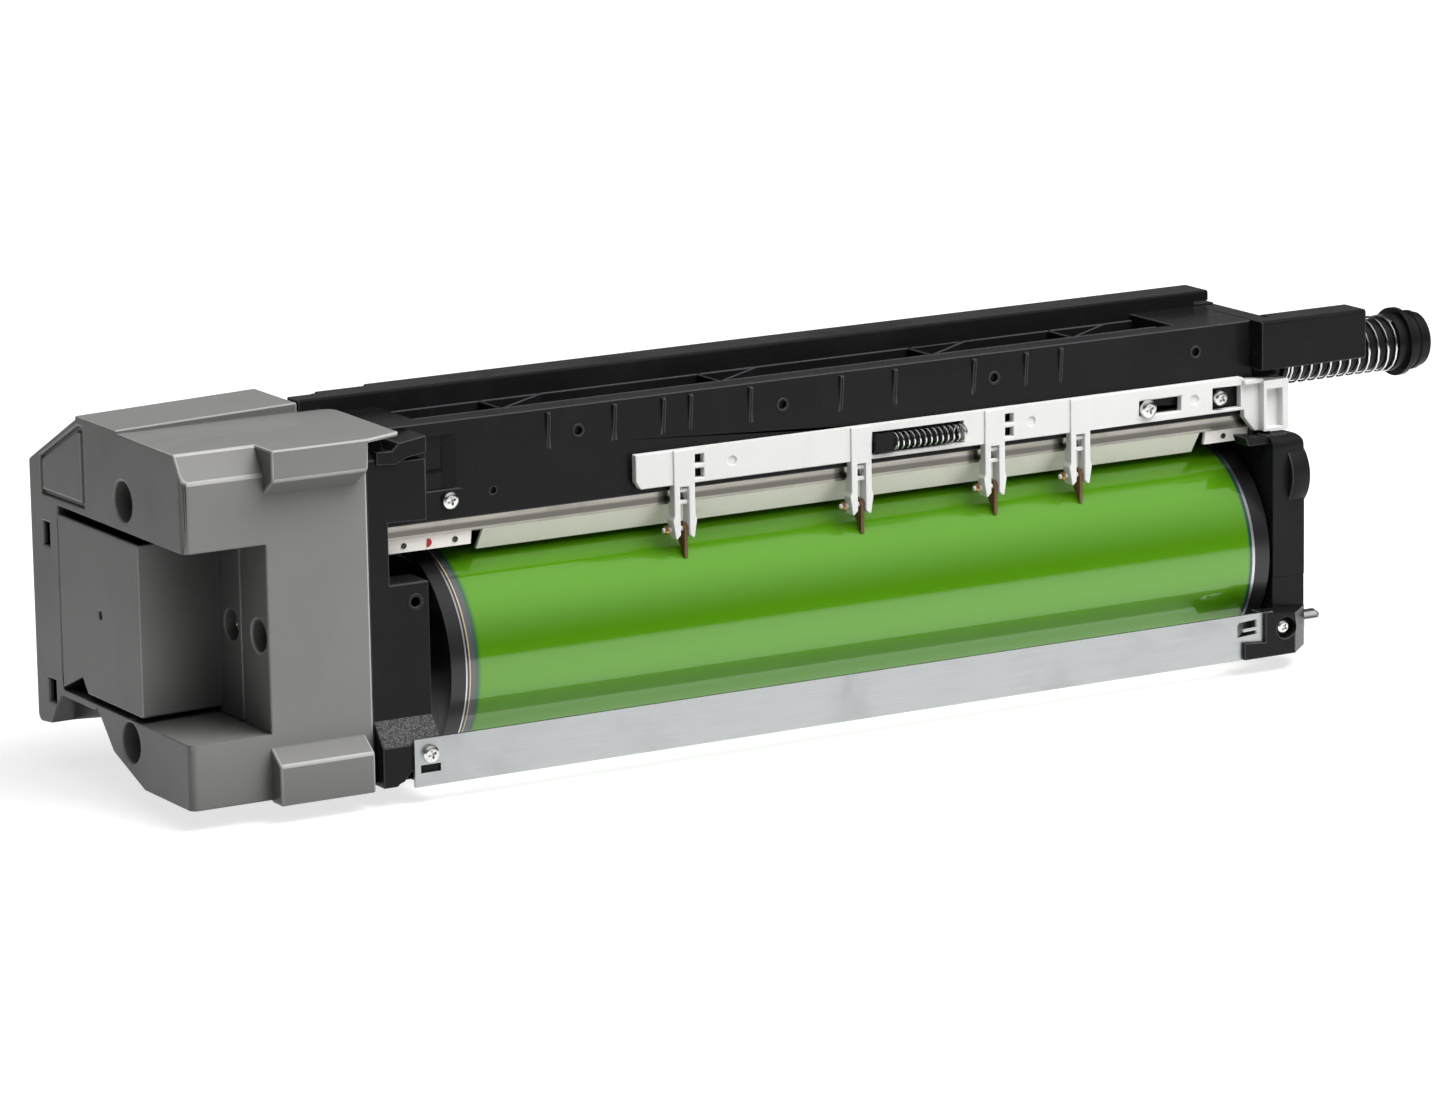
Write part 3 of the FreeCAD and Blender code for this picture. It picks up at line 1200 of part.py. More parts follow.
def inner_cover():
    """Bent moulding: side wall, back wall of the recess and a flange beside it."""
    body = new_body("inner_cover")
    wall = D.inner_wall
    left = COVER_LEFT - 0.4
    right = GRIP_RIGHT
    back = D.window_back - D.seam * 2.5
    edge = -D.inner_edge
    face = -D.inner_face
    corner = -1.4
    low = -D.grip_bottom + D.seam
    high = D.grip_top - D.seam - 3
    pad(body, "XY", [[(left, face), (right, corner), (right, edge), (right + wall, edge),
                      (right + wall, corner + wall), (left + wall, face + wall), (left + wall, back),
                      (left, back)]], low, high)
    pad(body, "XY", [[(right, edge), (right + wall, edge), (right + wall, corner + wall),
                      (right, corner + wall)]], high - 1, D.grip_top - D.seam)
    y, z = INNER_BOSS
    floor = right + D.cover_wall + 2.6
    pad(body, "YZ", [("circle", y, z, 6.9)], right + 0.5, floor + 2)
    pocket(body, "YZ", [("circle", y, z, 5.8)], right - 1, floor)
    pocket(body, "YZ", [("circle", y, z, D.blade_screw_radius)], floor - 0.5, floor + 3)
    # lower edge, lifted off the recess floor and notched near the back
    pocket(body, "YZ", [[(67, -13), (67, -11.9), (47.9, -4.0), (43.3, -9.6), (-21, -9.6), (-21, -13)]],
           left - 1, right - 0.2)
    pocket(body, "YZ", [("circle", 30.1, 22.8, 1.6)], left - 1, left + 1.2)
    return body


def cover_screws():
    length = FRONT_OUT - SCREW_FLOOR + 6
    members = [screw("+X", SCREW_FLOOR, y, z, 3.4, 2.4, D.cover_screw_radius, length)
               for y, z in COVER_BOSSES]
    grouped("cover_screws", members)
    y, z = INNER_BOSS
    seat = GRIP_RIGHT + D.cover_wall + 2.6
    grouped("inner_cover_screw", [screw("+X", seat, y, z, 3.6, 2.4, D.blade_screw_radius, 12)])


def check_and_write():
    """Stops on any failed object, then writes one file for each sub-part."""
    for label, item in subparts:
        if item.TypeId == "PartDesign::Body":
            item.Tip.Refine = True
    doc.recompute()
    for item in doc.Objects:
        if "Invalid" in item.State or "Error" in item.State:
            raise ValueError(f"{item.Name} ({item.Label}) is not valid: {item.State}")
    for label, item in subparts:
        shape = item.Shape
        if shape.isNull() or not shape.isValid():
            raise ValueError(f"{label} has no valid shape")
    os.makedirs("parts", exist_ok=True)
    for label, item in subparts:
        item.Shape.exportStep(f"parts/{label}.step")
    print(f"{len(subparts)} sub-parts")


def main():
    drum_tube()
    drive_flange()
    front_flange()
    gear_train()
    auger()
    cleaner_housing()
    guide_rail()
    strips()
    blade()
    picker_slider()
    picker_parts()
    front_frame()
    drive_frame()
    bearings_and_pin()
    outlet()
    tube_guard()
    tie_plate()
    plate_screws()
    charger()
    rear_parts()
    front_cover()
    inner_cover()
    cover_screws()
    check_and_write()


main()
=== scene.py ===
import json
import math

import bmesh
import bpy
from mathutils import Matrix, Vector


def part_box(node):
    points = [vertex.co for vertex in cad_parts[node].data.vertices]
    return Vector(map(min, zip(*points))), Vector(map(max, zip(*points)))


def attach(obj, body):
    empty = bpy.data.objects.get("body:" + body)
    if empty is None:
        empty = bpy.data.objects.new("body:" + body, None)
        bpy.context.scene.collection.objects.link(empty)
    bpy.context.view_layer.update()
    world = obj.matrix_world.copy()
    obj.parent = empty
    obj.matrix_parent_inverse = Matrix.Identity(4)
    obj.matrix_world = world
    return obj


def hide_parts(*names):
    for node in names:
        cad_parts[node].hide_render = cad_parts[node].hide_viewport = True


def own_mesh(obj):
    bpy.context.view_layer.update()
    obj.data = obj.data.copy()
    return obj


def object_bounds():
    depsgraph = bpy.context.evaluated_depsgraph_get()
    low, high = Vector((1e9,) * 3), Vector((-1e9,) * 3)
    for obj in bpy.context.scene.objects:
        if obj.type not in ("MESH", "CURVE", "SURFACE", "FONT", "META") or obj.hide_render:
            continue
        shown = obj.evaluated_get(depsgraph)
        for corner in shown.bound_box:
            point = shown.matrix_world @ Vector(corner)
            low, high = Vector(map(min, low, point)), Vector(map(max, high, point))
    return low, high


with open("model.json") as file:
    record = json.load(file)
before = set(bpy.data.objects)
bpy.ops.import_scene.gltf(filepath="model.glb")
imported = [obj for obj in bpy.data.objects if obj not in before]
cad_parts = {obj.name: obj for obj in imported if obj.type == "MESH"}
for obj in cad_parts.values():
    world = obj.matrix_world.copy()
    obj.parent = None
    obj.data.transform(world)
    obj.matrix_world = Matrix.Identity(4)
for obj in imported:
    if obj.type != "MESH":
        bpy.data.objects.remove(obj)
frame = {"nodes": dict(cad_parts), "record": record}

bl_info = {
    "name": "Printer drum unit",
    "version": (1, 0, 0),
    "blender": (4, 5, 0),
    "location": "View3D > Sidebar > Drum unit",
    "description": "Finishes, small parts and studio for a printer drum unit",
    "category": "Object",
}

NODES = frame["nodes"]
CAD_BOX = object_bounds()

MM = 0.001

# Small screws and the mark on the end seals, along the drum
SEAL_SCREWS = {"front_end_seal": (-0.3747, -0.3533), "drive_end_seal": (-0.0100,)}
RED_MARK_PLACE = -0.3648
RED_MARK_RADIUS = 1.7 * MM
RED_MARK_FLAT = 0.4 * MM
RED_MARK_RISE = 0.18 * MM
SEAL_HEAD = (1.15 * MM, 0.5 * MM)

# Turns of the cross recesses, taken in rotation
RECESS_TURNS = (0.3, 0.9, 0.55)

# Pan head as shares of its radius and height: the outside, then the recess
HEAD_PROFILE = ((1.0, 0.42), (0.93, 0.72), (0.74, 0.94), (0.60, 1.0))
RECESS_PROFILE = ((0.98, 0.98), (0.72, 0.45))

# Coil springs: turns, wire and winding
OUTLET_TURNS = 13
SLIDER_TURNS = 14
CLAW_TURNS = 4
CLAW_WIRE = 0.45 * MM
CLAW_INSET = 0.2 * MM
OUTLET_END = 0.2 * MM
TURN_STEPS = 18
CLOSED_TURNS = 1.0
CLOSED_PITCH = 1.05

# Share of the aluminium that shows through the coat of the drum
COAT_METAL = 0.58

# Reach of the painted shade in the recess of the grey cover
PAINTED_SHADE_REACH = 35 * MM

# Bands of the drum's coat: distances from the front end of the tube, and from the drive end
TEAL_BAND = (7.0 * MM, 4.6 * MM)
VIOLET_BAND = (5.0 * MM, 3.4 * MM)
GOLDEN_WIDTH = 2.0 * MM
DARK_WIDTH = 1.5 * MM
FRONT_RIM = 0.6 * MM
DRIVE_BAND = (3.2 * MM, 2.0 * MM)
DRIVE_RIM = 1.2 * MM
TEAL = (0.035, 0.12, 0.06)
VIOLET = (0.105, 0.10, 0.125)
GOLDEN = (0.60, 0.50, 0.26)
DARK_LINE = (0.04, 0.04, 0.04)
DRIVE_TEAL = (0.02, 0.075, 0.06)
BARE_METAL = (0.62, 0.64, 0.68)

# Painted dark reflection band of the polished strip, as heights over the drum axis
STRIP_REFLECTION_TOP = (53.4 * MM, 52.2 * MM)
STRIP_REFLECTION_FOOT = (50.2 * MM, 50.8 * MM)

# Studio camera, solved on the drum axis frame
VIEW_AZIMUTH = math.radians(29.960)
VIEW_ELEVATION = math.radians(12.114)
VIEW_ROLL = math.radians(-0.9786)
VIEW_DISTANCE = 2.61296
VIEW_SHIFT_RIGHT = 0.043021
VIEW_SHIFT_UP = -0.016793
VIEW_TARGET_X = -0.1785
VIEW_LENS = 169.54

# Floor and backdrop, lamps, and the levels that the floor shows near the unit and far from it
FLOOR_REACH = 9.0
BACKDROP_PLACE = 2.4
BACKDROP_BEND = 0.8
BACKDROP_HEIGHT = 1.6

KEY_PLACE = (0.16, -0.52, 1.20)
KEY_TARGET = (-0.18, 0.0, 0.0)
FILL_PLACE = (0.55, -1.5, 0.12)
GLOW_EDGE = 0.50
FAR_LIFT = 0.9
MIRRORED_NEAR = 0.95
MIRRORED_FAR = 0.10
FLOOR_FADE = (0.3, 1.6)
FLOOR_TONE = 0.45
MIRRORED_TONE = 0.30
KEY_SIZE = (1.3, 0.9)
FILL_SIZE = (0.9, 0.3)

FLOOR_LEVEL = CAD_BOX[0].z

# Reading and rounding of a CAD node; its screws are read in millimetres
MERGE_DISTANCE = 0.004 * MM
SAME_LEVEL = 0.002
FLAT_ANGLE = math.radians(0.6)
SHARP_ANGLE = math.radians(28)
STRAIGHT_ON = math.radians(150)
WIDE_ROOM = 1.0
ROOM_SHARE = 0.42
LEAST_SHARE = 0.5

# Faces of the front frame with leather grain: sloping up to the front, below the drum axis
LEATHER_MASK = "leather"
LEATHER_TOP = 0.0
LEATHER_SLANT = 0.25

# Faces that the rounding made, where the material paints a highlight by lightening the colour
EDGE_HIGHLIGHT_MASK = "edge"


# Node helpers


def place(tree, kind, inputs=None, **settings):
    """Adds a node, with its properties and the values of its unlinked sockets."""
    node = tree.nodes.new(kind)
    for name, value in settings.items():
        setattr(node, name, value)
    for name, value in (inputs or {}).items():
        node.inputs[name].default_value = value
    return node


def join(tree, source, target):
    tree.links.new(source, target)


def new_group(name, inputs, outputs):
    """Shader node group with float, vector or colour sockets."""
    tree = bpy.data.node_groups.new(name, "ShaderNodeTree")
    for label, kind, value in inputs:
        socket = tree.interface.new_socket(label, in_out="INPUT", socket_type=kind)
        if value is not None:
            socket.default_value = value
    for label, kind in outputs:
        tree.interface.new_socket(label, in_out="OUTPUT", socket_type=kind)
    return tree, tree.nodes.new("NodeGroupInput"), tree.nodes.new("NodeGroupOutput")


def ramp(tree, factor, low, high):
    """Smooth step of a value between two levels, as a number from 0 to 1."""
    node = place(tree, "ShaderNodeMapRange", {"From Min": low, "From Max": high},
                 interpolation_type="SMOOTHSTEP")
    join(tree, factor, node.inputs["Value"])
    return node.outputs["Result"]


def math_node(tree, operation, first, second):
    node = place(tree, "ShaderNodeMath", operation=operation)
    for index, value in enumerate((first, second)):
        if isinstance(value, (int, float)):
            node.inputs[index].default_value = value
        else:
            join(tree, value, node.inputs[index])
    return node.outputs[0]


# Shared effects


def spark_grain_group():
    """Fine even grain of a spark eroded mould, as a height."""
    tree, start, end = new_group(
        "Spark grain",
        [("Coordinate", "NodeSocketVector", None), ("Grains", "NodeSocketFloat", 1800.0)],
        [("Height", "NodeSocketFloat")])
    fine = place(tree, "ShaderNodeTexNoise", {"Detail": 2.0, "Roughness": 0.6})
    join(tree, start.outputs["Coordinate"], fine.inputs["Vector"])
    join(tree, start.outputs["Grains"], fine.inputs["Scale"])
    join(tree, fine.outputs["Fac"], end.inputs["Height"])
    return tree


def smudge_group():
    """Cloudy handling marks, as a mask."""
    tree, start, end = new_group(
        "Smudges",
        [("Coordinate", "NodeSocketVector", None), ("Clouds", "NodeSocketFloat", 40.0),
         ("Cover", "NodeSocketFloat", 0.5)],
        [("Mask", "NodeSocketFloat")])
    cloud = place(tree, "ShaderNodeTexNoise", {"Detail": 5.0, "Roughness": 0.62, "Distortion": 0.6})
    join(tree, start.outputs["Coordinate"], cloud.inputs["Vector"])
    join(tree, start.outputs["Clouds"], cloud.inputs["Scale"])
    limit = math_node(tree, "SUBTRACT", 1.0, start.outputs["Cover"])
    over = math_node(tree, "SUBTRACT", cloud.outputs["Fac"], limit)
    join(tree, ramp(tree, over, -0.05, 0.25), end.inputs["Mask"])
    return tree


def dust_group():
    """Scattered pale specks of toner dust, as a mask."""
    tree, start, end = new_group(
        "Dust specks",
        [("Coordinate", "NodeSocketVector", None), ("Density", "NodeSocketFloat", 160.0),
         ("Size", "NodeSocketFloat", 0.06)],
        [("Mask", "NodeSocketFloat")])
    cells = place(tree, "ShaderNodeTexVoronoi", feature="F1")
    join(tree, start.outputs["Coordinate"], cells.inputs["Vector"])
    join(tree, start.outputs["Density"], cells.inputs["Scale"])
    split = place(tree, "ShaderNodeSeparateColor")
    join(tree, cells.outputs["Color"], split.inputs["Color"])
    # only some cells hold a speck, each of its own size
    reach = math_node(tree, "MULTIPLY", split.outputs["Red"], split.outputs["Green"])
    reach = math_node(tree, "MULTIPLY", reach, start.outputs["Size"])
    inside = math_node(tree, "LESS_THAN", cells.outputs["Distance"], reach)
    chosen = math_node(tree, "GREATER_THAN", split.outputs["Blue"], 0.55)
    join(tree, math_node(tree, "MULTIPLY", inside, chosen), end.inputs["Mask"])
    return tree


def leather_group():
    """Pebbled leather grain of a textured mould face, as a height."""
    tree, start, end = new_group(
        "Leather grain",
        [("Coordinate", "NodeSocketVector", None), ("Pebbles", "NodeSocketFloat", 1500.0),
         ("Depth", "NodeSocketFloat", 30.0)],
        [("Height", "NodeSocketFloat")])
    pebbles = place(tree, "ShaderNodeTexVoronoi", feature="SMOOTH_F1")
    join(tree, start.outputs["Coordinate"], pebbles.inputs["Vector"])
    join(tree, start.outputs["Pebbles"], pebbles.inputs["Scale"])
    sunk = math_node(tree, "MULTIPLY", pebbles.outputs["Distance"], start.outputs["Depth"])
    join(tree, math_node(tree, "SUBTRACT", 0.0, sunk), end.inputs["Height"])
    return tree


def rolled_group():
    """Fine parallel lines along X of rolled or polished sheet, as a height and a shade."""
    tree, start, end = new_group(
        "Rolled lines",
        [("Coordinate", "NodeSocketVector", None), ("Lines", "NodeSocketFloat", 900.0)],
        [("Height", "NodeSocketFloat"), ("Shade", "NodeSocketFloat")])
    squeeze = place(tree, "ShaderNodeVectorMath", operation="MULTIPLY")
    squeeze.inputs[1].default_value = (0.02, 1.0, 1.0)
    join(tree, start.outputs["Coordinate"], squeeze.inputs[0])
    lines = place(tree, "ShaderNodeTexNoise", {"Detail": 4.0, "Roughness": 0.7})
    join(tree, squeeze.outputs["Vector"], lines.inputs["Vector"])
    join(tree, start.outputs["Lines"], lines.inputs["Scale"])
    join(tree, lines.outputs["Fac"], end.inputs["Height"])
    join(tree, ramp(tree, lines.outputs["Fac"], 0.3, 0.7), end.inputs["Shade"])
    return tree


class Finish:
    """One material under construction, with its shader and object coordinates."""

    groups = {}

    def __init__(self, name, colour, roughness, metallic=0.0):
        self.material = bpy.data.materials.new(name)
        self.material.use_nodes = True
        self.material.diffuse_color = (*colour, 1.0)
        self.tree = self.material.node_tree
        self.shader = self.tree.nodes["Principled BSDF"]
        self.set("Base Color", (*colour, 1.0))
        self.set("Roughness", roughness)
        self.set("Metallic", metallic)
        self.coordinate = place(self.tree, "ShaderNodeTexCoord").outputs["Object"]

    def set(self, socket, value):
        self.shader.inputs[socket].default_value = value

    def effect(self, name, **inputs):
        """Places a shared group on the object's coordinates."""
        node = self.tree.nodes.new("ShaderNodeGroup")
        node.node_tree = Finish.groups[name]
        join(self.tree, self.coordinate, node.inputs["Coordinate"])
        for socket, value in inputs.items():
            node.inputs[socket].default_value = value
        return node

    def blend(self, base, over, mask):
        """Colour socket or value that shows one colour over another through a mask."""
        node = place(self.tree, "ShaderNodeMix", data_type="RGBA")
        for index, value in ((6, base), (7, over)):
            if isinstance(value, tuple):
                node.inputs[index].default_value = (*value, 1.0)
            else:
                join(self.tree, value, node.inputs[index])
        join(self.tree, mask, node.inputs[0])
        return node.outputs[2]

    def vary(self, socket, mask, low, high):
        """Lets a mask run a number of the shader between two values."""
        node = place(self.tree, "ShaderNodeMapRange", {"To Min": low, "To Max": high})
        join(self.tree, mask, node.inputs["Value"])
        join(self.tree, node.outputs["Result"], self.shader.inputs[socket])

    def bump(self, height, strength, distance, rounding=0.0):
        # the rounding, in metres, softens the edges that the mesh leaves sharp
        node = place(self.tree, "ShaderNodeBump", {"Strength": strength, "Distance": distance})
        join(self.tree, height, node.inputs["Height"])
        if rounding:
            rounded = place(self.tree, "ShaderNodeBevel", {"Radius": rounding}, samples=2)
            join(self.tree, rounded.outputs["Normal"], node.inputs["Normal"])
        join(self.tree, node.outputs["Normal"], self.shader.inputs["Normal"])

    def attribute(self, name):
        return place(self.tree, "ShaderNodeAttribute", attribute_name=name).outputs["Fac"]

    def colour(self, source):
        join(self.tree, source, self.shader.inputs["Base Color"])


def make_groups():
    Finish.groups = {
        "grain": spark_grain_group(),
        "smudges": smudge_group(),
        "dust": dust_group(),
        "rolled": rolled_group(),
        "leather": leather_group(),
    }


def scaled(colour, factor):
    return tuple(channel * factor for channel in colour)


# Finishes


def grey_shell(colours):
    finish = Finish("Grey shell", colours.shell, 0.36)
    finish.set("Specular IOR Level", 0.35)
    smudges = finish.effect("smudges", Clouds=14.0, Cover=0.55)
    shade = finish.blend(tuple(colours.shell), scaled(colours.shell, 0.93), smudges.outputs["Mask"])
    # painted highlight: the rounded edges show the grey 2.1 times as light
    shade = finish.blend(shade, scaled(colours.shell, 2.1), finish.attribute(EDGE_HIGHLIGHT_MASK))
    # painted shade: an ambient occlusion node within the reach blends the grey towards 0.3 of itself in
    # recesses and hollows
    depth = place(finish.tree, "ShaderNodeAmbientOcclusion", {"Distance": PAINTED_SHADE_REACH}, samples=2)
    painted_shade_mask = ramp(finish.tree, depth.outputs["AO"], 0.76, 0.30)
    finish.colour(finish.blend(shade, scaled(colours.shell, 0.30), painted_shade_mask))
    finish.vary("Roughness", smudges.outputs["Mask"], 0.34, 0.42)
    grain = finish.effect("grain", Grains=2600.0)
    finish.bump(grain.outputs["Height"], 0.10, 0.00012, rounding=1.1 * MM)
    return finish.material


def black_moulding(colours, name="Black moulding", leather=False):
    """Satin black with faint handling marks and dust, and a painted highlight on its rounded edges;
    leather grain where the piece asks for it.
    """
    finish = Finish(name, colours.black, 0.36)
    smudges = finish.effect("smudges", Clouds=26.0, Cover=0.48)
    specks = finish.effect("dust", Density=210.0, Size=0.055)
    smudged_and_highlit = finish.blend(tuple(colours.black), scaled(colours.black, 1.5), smudges.outputs["Mask"])
    # painted highlight: the rounded edges show the black 6 times as light
    smudged_and_highlit = finish.blend(smudged_and_highlit, scaled(colours.black, 6.0), finish.attribute(EDGE_HIGHLIGHT_MASK))
    if leather:
        coarse = finish.effect("leather").outputs["Height"]
        pebbles = finish.blend((0.036, 0.036, 0.036), (0.105, 0.104, 0.102),
                               ramp(finish.tree, coarse, -18.0, -4.0))
        smudged_and_highlit = finish.blend(smudged_and_highlit, pebbles, finish.attribute(LEATHER_MASK))
    finish.colour(finish.blend(smudged_and_highlit, (0.16, 0.155, 0.15), specks.outputs["Mask"]))
    finish.vary("Roughness", smudges.outputs["Mask"], 0.26, 0.42)
    finish.set("Specular IOR Level", 0.12)
    height = finish.effect("grain", Grains=2200.0).outputs["Height"]
    if leather:
        coarse = math_node(finish.tree, "MULTIPLY", coarse, finish.attribute(LEATHER_MASK))
        height = math_node(finish.tree, "ADD", height, coarse)
    finish.bump(height, 0.10, 0.00015, rounding=0.6 * MM)
    return finish.material


def drum_coat(colours):
    """Green coat that thins over teal to violet grey at the front end and leaves both rims bare."""
    finish = Finish("Drum coat", colours.drum, 0.42)
    split = place(finish.tree, "ShaderNodeSeparateXYZ")
    join(finish.tree, finish.coordinate, split.inputs[0])
    along = split.outputs["X"]
    low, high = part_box("drum_tube")
    teal = ramp(finish.tree, along, *(low.x + spot for spot in TEAL_BAND))
    violet = ramp(finish.tree, along, *(low.x + spot for spot in VIOLET_BAND))
    coat = finish.blend(tuple(colours.drum), TEAL, teal)
    coat = finish.blend(coat, VIOLET, violet)
    golden = math_node(finish.tree, "LESS_THAN", along, low.x + GOLDEN_WIDTH)
    coat = finish.blend(coat, GOLDEN, golden)
    dark = math_node(finish.tree, "LESS_THAN", along, low.x + DARK_WIDTH)
    coat = finish.blend(coat, DARK_LINE, dark)
    edge = ramp(finish.tree, along, *(high.x - spot for spot in DRIVE_BAND))
    coat = finish.blend(coat, DRIVE_TEAL, edge)
    front_rim = math_node(finish.tree, "LESS_THAN", along, low.x + FRONT_RIM)
    drive_rim = math_node(finish.tree, "GREATER_THAN", along, high.x - DRIVE_RIM)
    rim = math_node(finish.tree, "ADD", front_rim, drive_rim)
    finish.colour(finish.blend(coat, BARE_METAL, rim))
    join(finish.tree, math_node(finish.tree, "MAXIMUM", rim, COAT_METAL),
         finish.shader.inputs["Metallic"])
    finish.set("Specular IOR Level", 0.0)
    finish.set("Coat Weight", 1.0)
    finish.set("Coat Roughness", 0.05)
    finish.set("Coat IOR", 1.65)
    return finish.material


def flange_black(colours):
    """Black of the drum's end plugs, with a fine grain and handling marks."""
    finish = Finish("Flange black", scaled(colours.black, 1.3), 0.34)
    smudges = finish.effect("smudges", Clouds=34.0, Cover=0.5)
    finish.colour(finish.blend(scaled(colours.black, 1.2), scaled(colours.black, 2.0),
                               smudges.outputs["Mask"]))
    finish.vary("Roughness", smudges.outputs["Mask"], 0.30, 0.42)
    grain = finish.effect("grain", Grains=2400.0)
    finish.bump(grain.outputs["Height"], 0.06, 0.0001)
    return finish.material


def white_moulding(colours):
    finish = Finish("White moulding", colours.white, 0.38)
    finish.set("Subsurface Weight", 0.25)
    finish.set("Subsurface Scale", 0.0012)
    finish.set("Subsurface Radius", (1.0, 0.9, 0.8))
    smudges = finish.effect("smudges", Clouds=60.0, Cover=0.42)
    finish.colour(finish.blend(tuple(colours.white), scaled(colours.white, 0.94),
                               smudges.outputs["Mask"]))
    return finish.material


def cream_lip(colours):
    finish = Finish("Cream lip", colours.cream, 0.28)
    smudges = finish.effect("smudges", Clouds=30.0, Cover=0.46)
    finish.colour(finish.blend(tuple(colours.cream), scaled(colours.cream, 0.86),
                               smudges.outputs["Mask"]))
    return finish.material


def polished_strip(colours):
    """Bright strip with a painted dark reflection band along its middle."""
    finish = Finish("Polished strip", colours.strip, 0.24, 1.0)
    rolled = finish.effect("rolled", Lines=2200.0)
    smudges = finish.effect("smudges", Clouds=24.0, Cover=0.50)
    lines = finish.blend(tuple(colours.strip), scaled(colours.strip, 0.72), rolled.outputs["Shade"])
    lines = finish.blend(lines, scaled(colours.strip, 0.6), smudges.outputs["Mask"])
    # painted reflection: the strip's middle heights go dark, at 0.35 of its tint
    split = place(finish.tree, "ShaderNodeSeparateXYZ")
    join(finish.tree, finish.coordinate, split.inputs[0])
    below = ramp(finish.tree, split.outputs["Z"], *STRIP_REFLECTION_TOP)
    above = ramp(finish.tree, split.outputs["Z"], *STRIP_REFLECTION_FOOT)
    band = math_node(finish.tree, "MULTIPLY", below, above)
    finish.colour(finish.blend(lines, scaled(colours.strip, 0.35), band))
    finish.bump(rolled.outputs["Height"], 0.08, 0.0001)
    return finish.material


def zinc_plate(colours):
    finish = Finish("Zinc plate", colours.zinc, 0.42, 1.0)
    rolled = finish.effect("rolled", Lines=1500.0)
    smudges = finish.effect("smudges", Clouds=18.0, Cover=0.5)
    lines = finish.blend(tuple(colours.zinc), scaled(colours.zinc, 0.92), rolled.outputs["Shade"])
    finish.colour(finish.blend(lines, scaled(colours.zinc, 0.86), smudges.outputs["Mask"]))
    finish.vary("Roughness", smudges.outputs["Mask"], 0.38, 0.50)
    finish.bump(rolled.outputs["Height"], 0.05, 0.0001)
    return finish.material


def plain_metal(name, colour, roughness):
    finish = Finish(name, colour, roughness, 1.0)
    smudges = finish.effect("smudges", Clouds=220.0, Cover=0.5)
    finish.colour(finish.blend(colour, scaled(colour, 0.72), smudges.outputs["Mask"]))
    finish.vary("Roughness", smudges.outputs["Mask"], roughness, roughness + 0.14)
    return finish.material


def plain_moulding(name, colour, roughness):
    finish = Finish(name, colour, roughness)
    smudges = finish.effect("smudges", Clouds=90.0, Cover=0.5)
    finish.colour(finish.blend(colour, scaled(colour, 0.8), smudges.outputs["Mask"]))
    grain = finish.effect("grain", Grains=2600.0)
    finish.bump(grain.outputs["Height"], 0.06, 0.0001)
    return finish.material


FINISHES = {}


def make_finishes(colours):
    make_groups()
    FINISHES.update({
        "shell": grey_shell(colours),
        "black": black_moulding(colours),
        "leather": black_moulding(colours, "Grained black moulding", leather=True),
        "flange": flange_black(colours),
        "coat": drum_coat(colours),
        "white": white_moulding(colours),
        "cream": cream_lip(colours),
        "strip": polished_strip(colours),
        "zinc": zinc_plate(colours),
        "bright": plain_metal("Bright screw", (0.72, 0.72, 0.70), 0.20),
        "spring": plain_metal("Spring wire", (0.70, 0.70, 0.69), 0.18),
        "black_screw": plain_metal("Black screw", (0.06, 0.06, 0.06), 0.25),
        "copper": plain_metal("Copper wire", (0.55, 0.27, 0.09), 0.28),
        "brass": plain_metal("Sintered bush", (0.42, 0.30, 0.14), 0.45),
        "claw": plain_moulding("Claw brown", (0.11, 0.055, 0.018), 0.34),
        "rubber": plain_moulding("Blade rubber", (0.32, 0.20, 0.08), 0.55),
        "red": plain_moulding("Red mark", (0.45, 0.012, 0.02), 0.45),
        "edge": plain_moulding("Rounded edge", (0.2, 0.2, 0.2), 0.45),
    })


def paint(piece, finish):
    piece.data.materials.clear()
    piece.data.materials.append(FINISHES[finish])


NODE_FINISHES = {
    "shell": ("front_cover", "inner_cover"),
    "leather": ("front_frame",),
    "black": ("drive_frame", "cleaner_housing", "guide_rail", "tube_guard", "charger_cover",
              "charger_front_block", "charger_drive_block", "tube_end_cap", "spring_mandrel",
              "outlet_tube", "outlet_shutter", "auger"),
    "flange": ("drive_flange", "front_flange"),
    "coat": ("drum_tube",),
    "white": ("picker_slider", "drum_gear", "idler_gear", "auger_gear"),
    "cream": ("recovery_seal", "front_end_seal", "drive_end_seal"),
    "strip": ("seal_bracket",),
    "zinc": ("tie_plate", "rear_tie_rail", "blade_bracket", "charger_shield", "charger_grid"),
    "bright": ("blade_screws", "locating_pin", "idler_stud", "front_bearing", "drive_bearing",
               "charger_wire"),
    "brass": ("auger_bush",),
    "claw": ("picker_finger_front", "picker_finger_second", "picker_finger_third",
             "picker_finger_drive"),
    "rubber": ("cleaning_blade",),
}

NODE_FINISH = {node: finish for finish, nodes in NODE_FINISHES.items() for node in nodes}


# Pieces


def body_of(node):
    bodies = frame["record"]["behaviour"]["bodies"]
    return next(name for name, nodes in bodies.items() if node in nodes)


def finish_piece(bm, name, body, finish, smooth=35.0):
    """Turns a bmesh into a piece of the scene that rides on a body."""
    bmesh.ops.recalc_face_normals(bm, faces=bm.faces)
    mesh = bpy.data.meshes.new(name)
    bm.to_mesh(mesh)
    bm.free()
    for polygon in mesh.polygons:
        polygon.use_smooth = True
    mesh.set_sharp_from_angle(angle=math.radians(smooth))
    piece = bpy.data.objects.new(name, mesh)
    bpy.context.scene.collection.objects.link(piece)
    paint(piece, finish)
    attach(piece, body)
    return piece


def line_up(edge, other, vert):
    """True where two edges run on almost straight through the vert that they share."""
    first = edge.other_vert(vert).co - vert.co
    second = other.other_vert(vert).co - vert.co
    return first.angle(second, 0.0) > STRAIGHT_ON


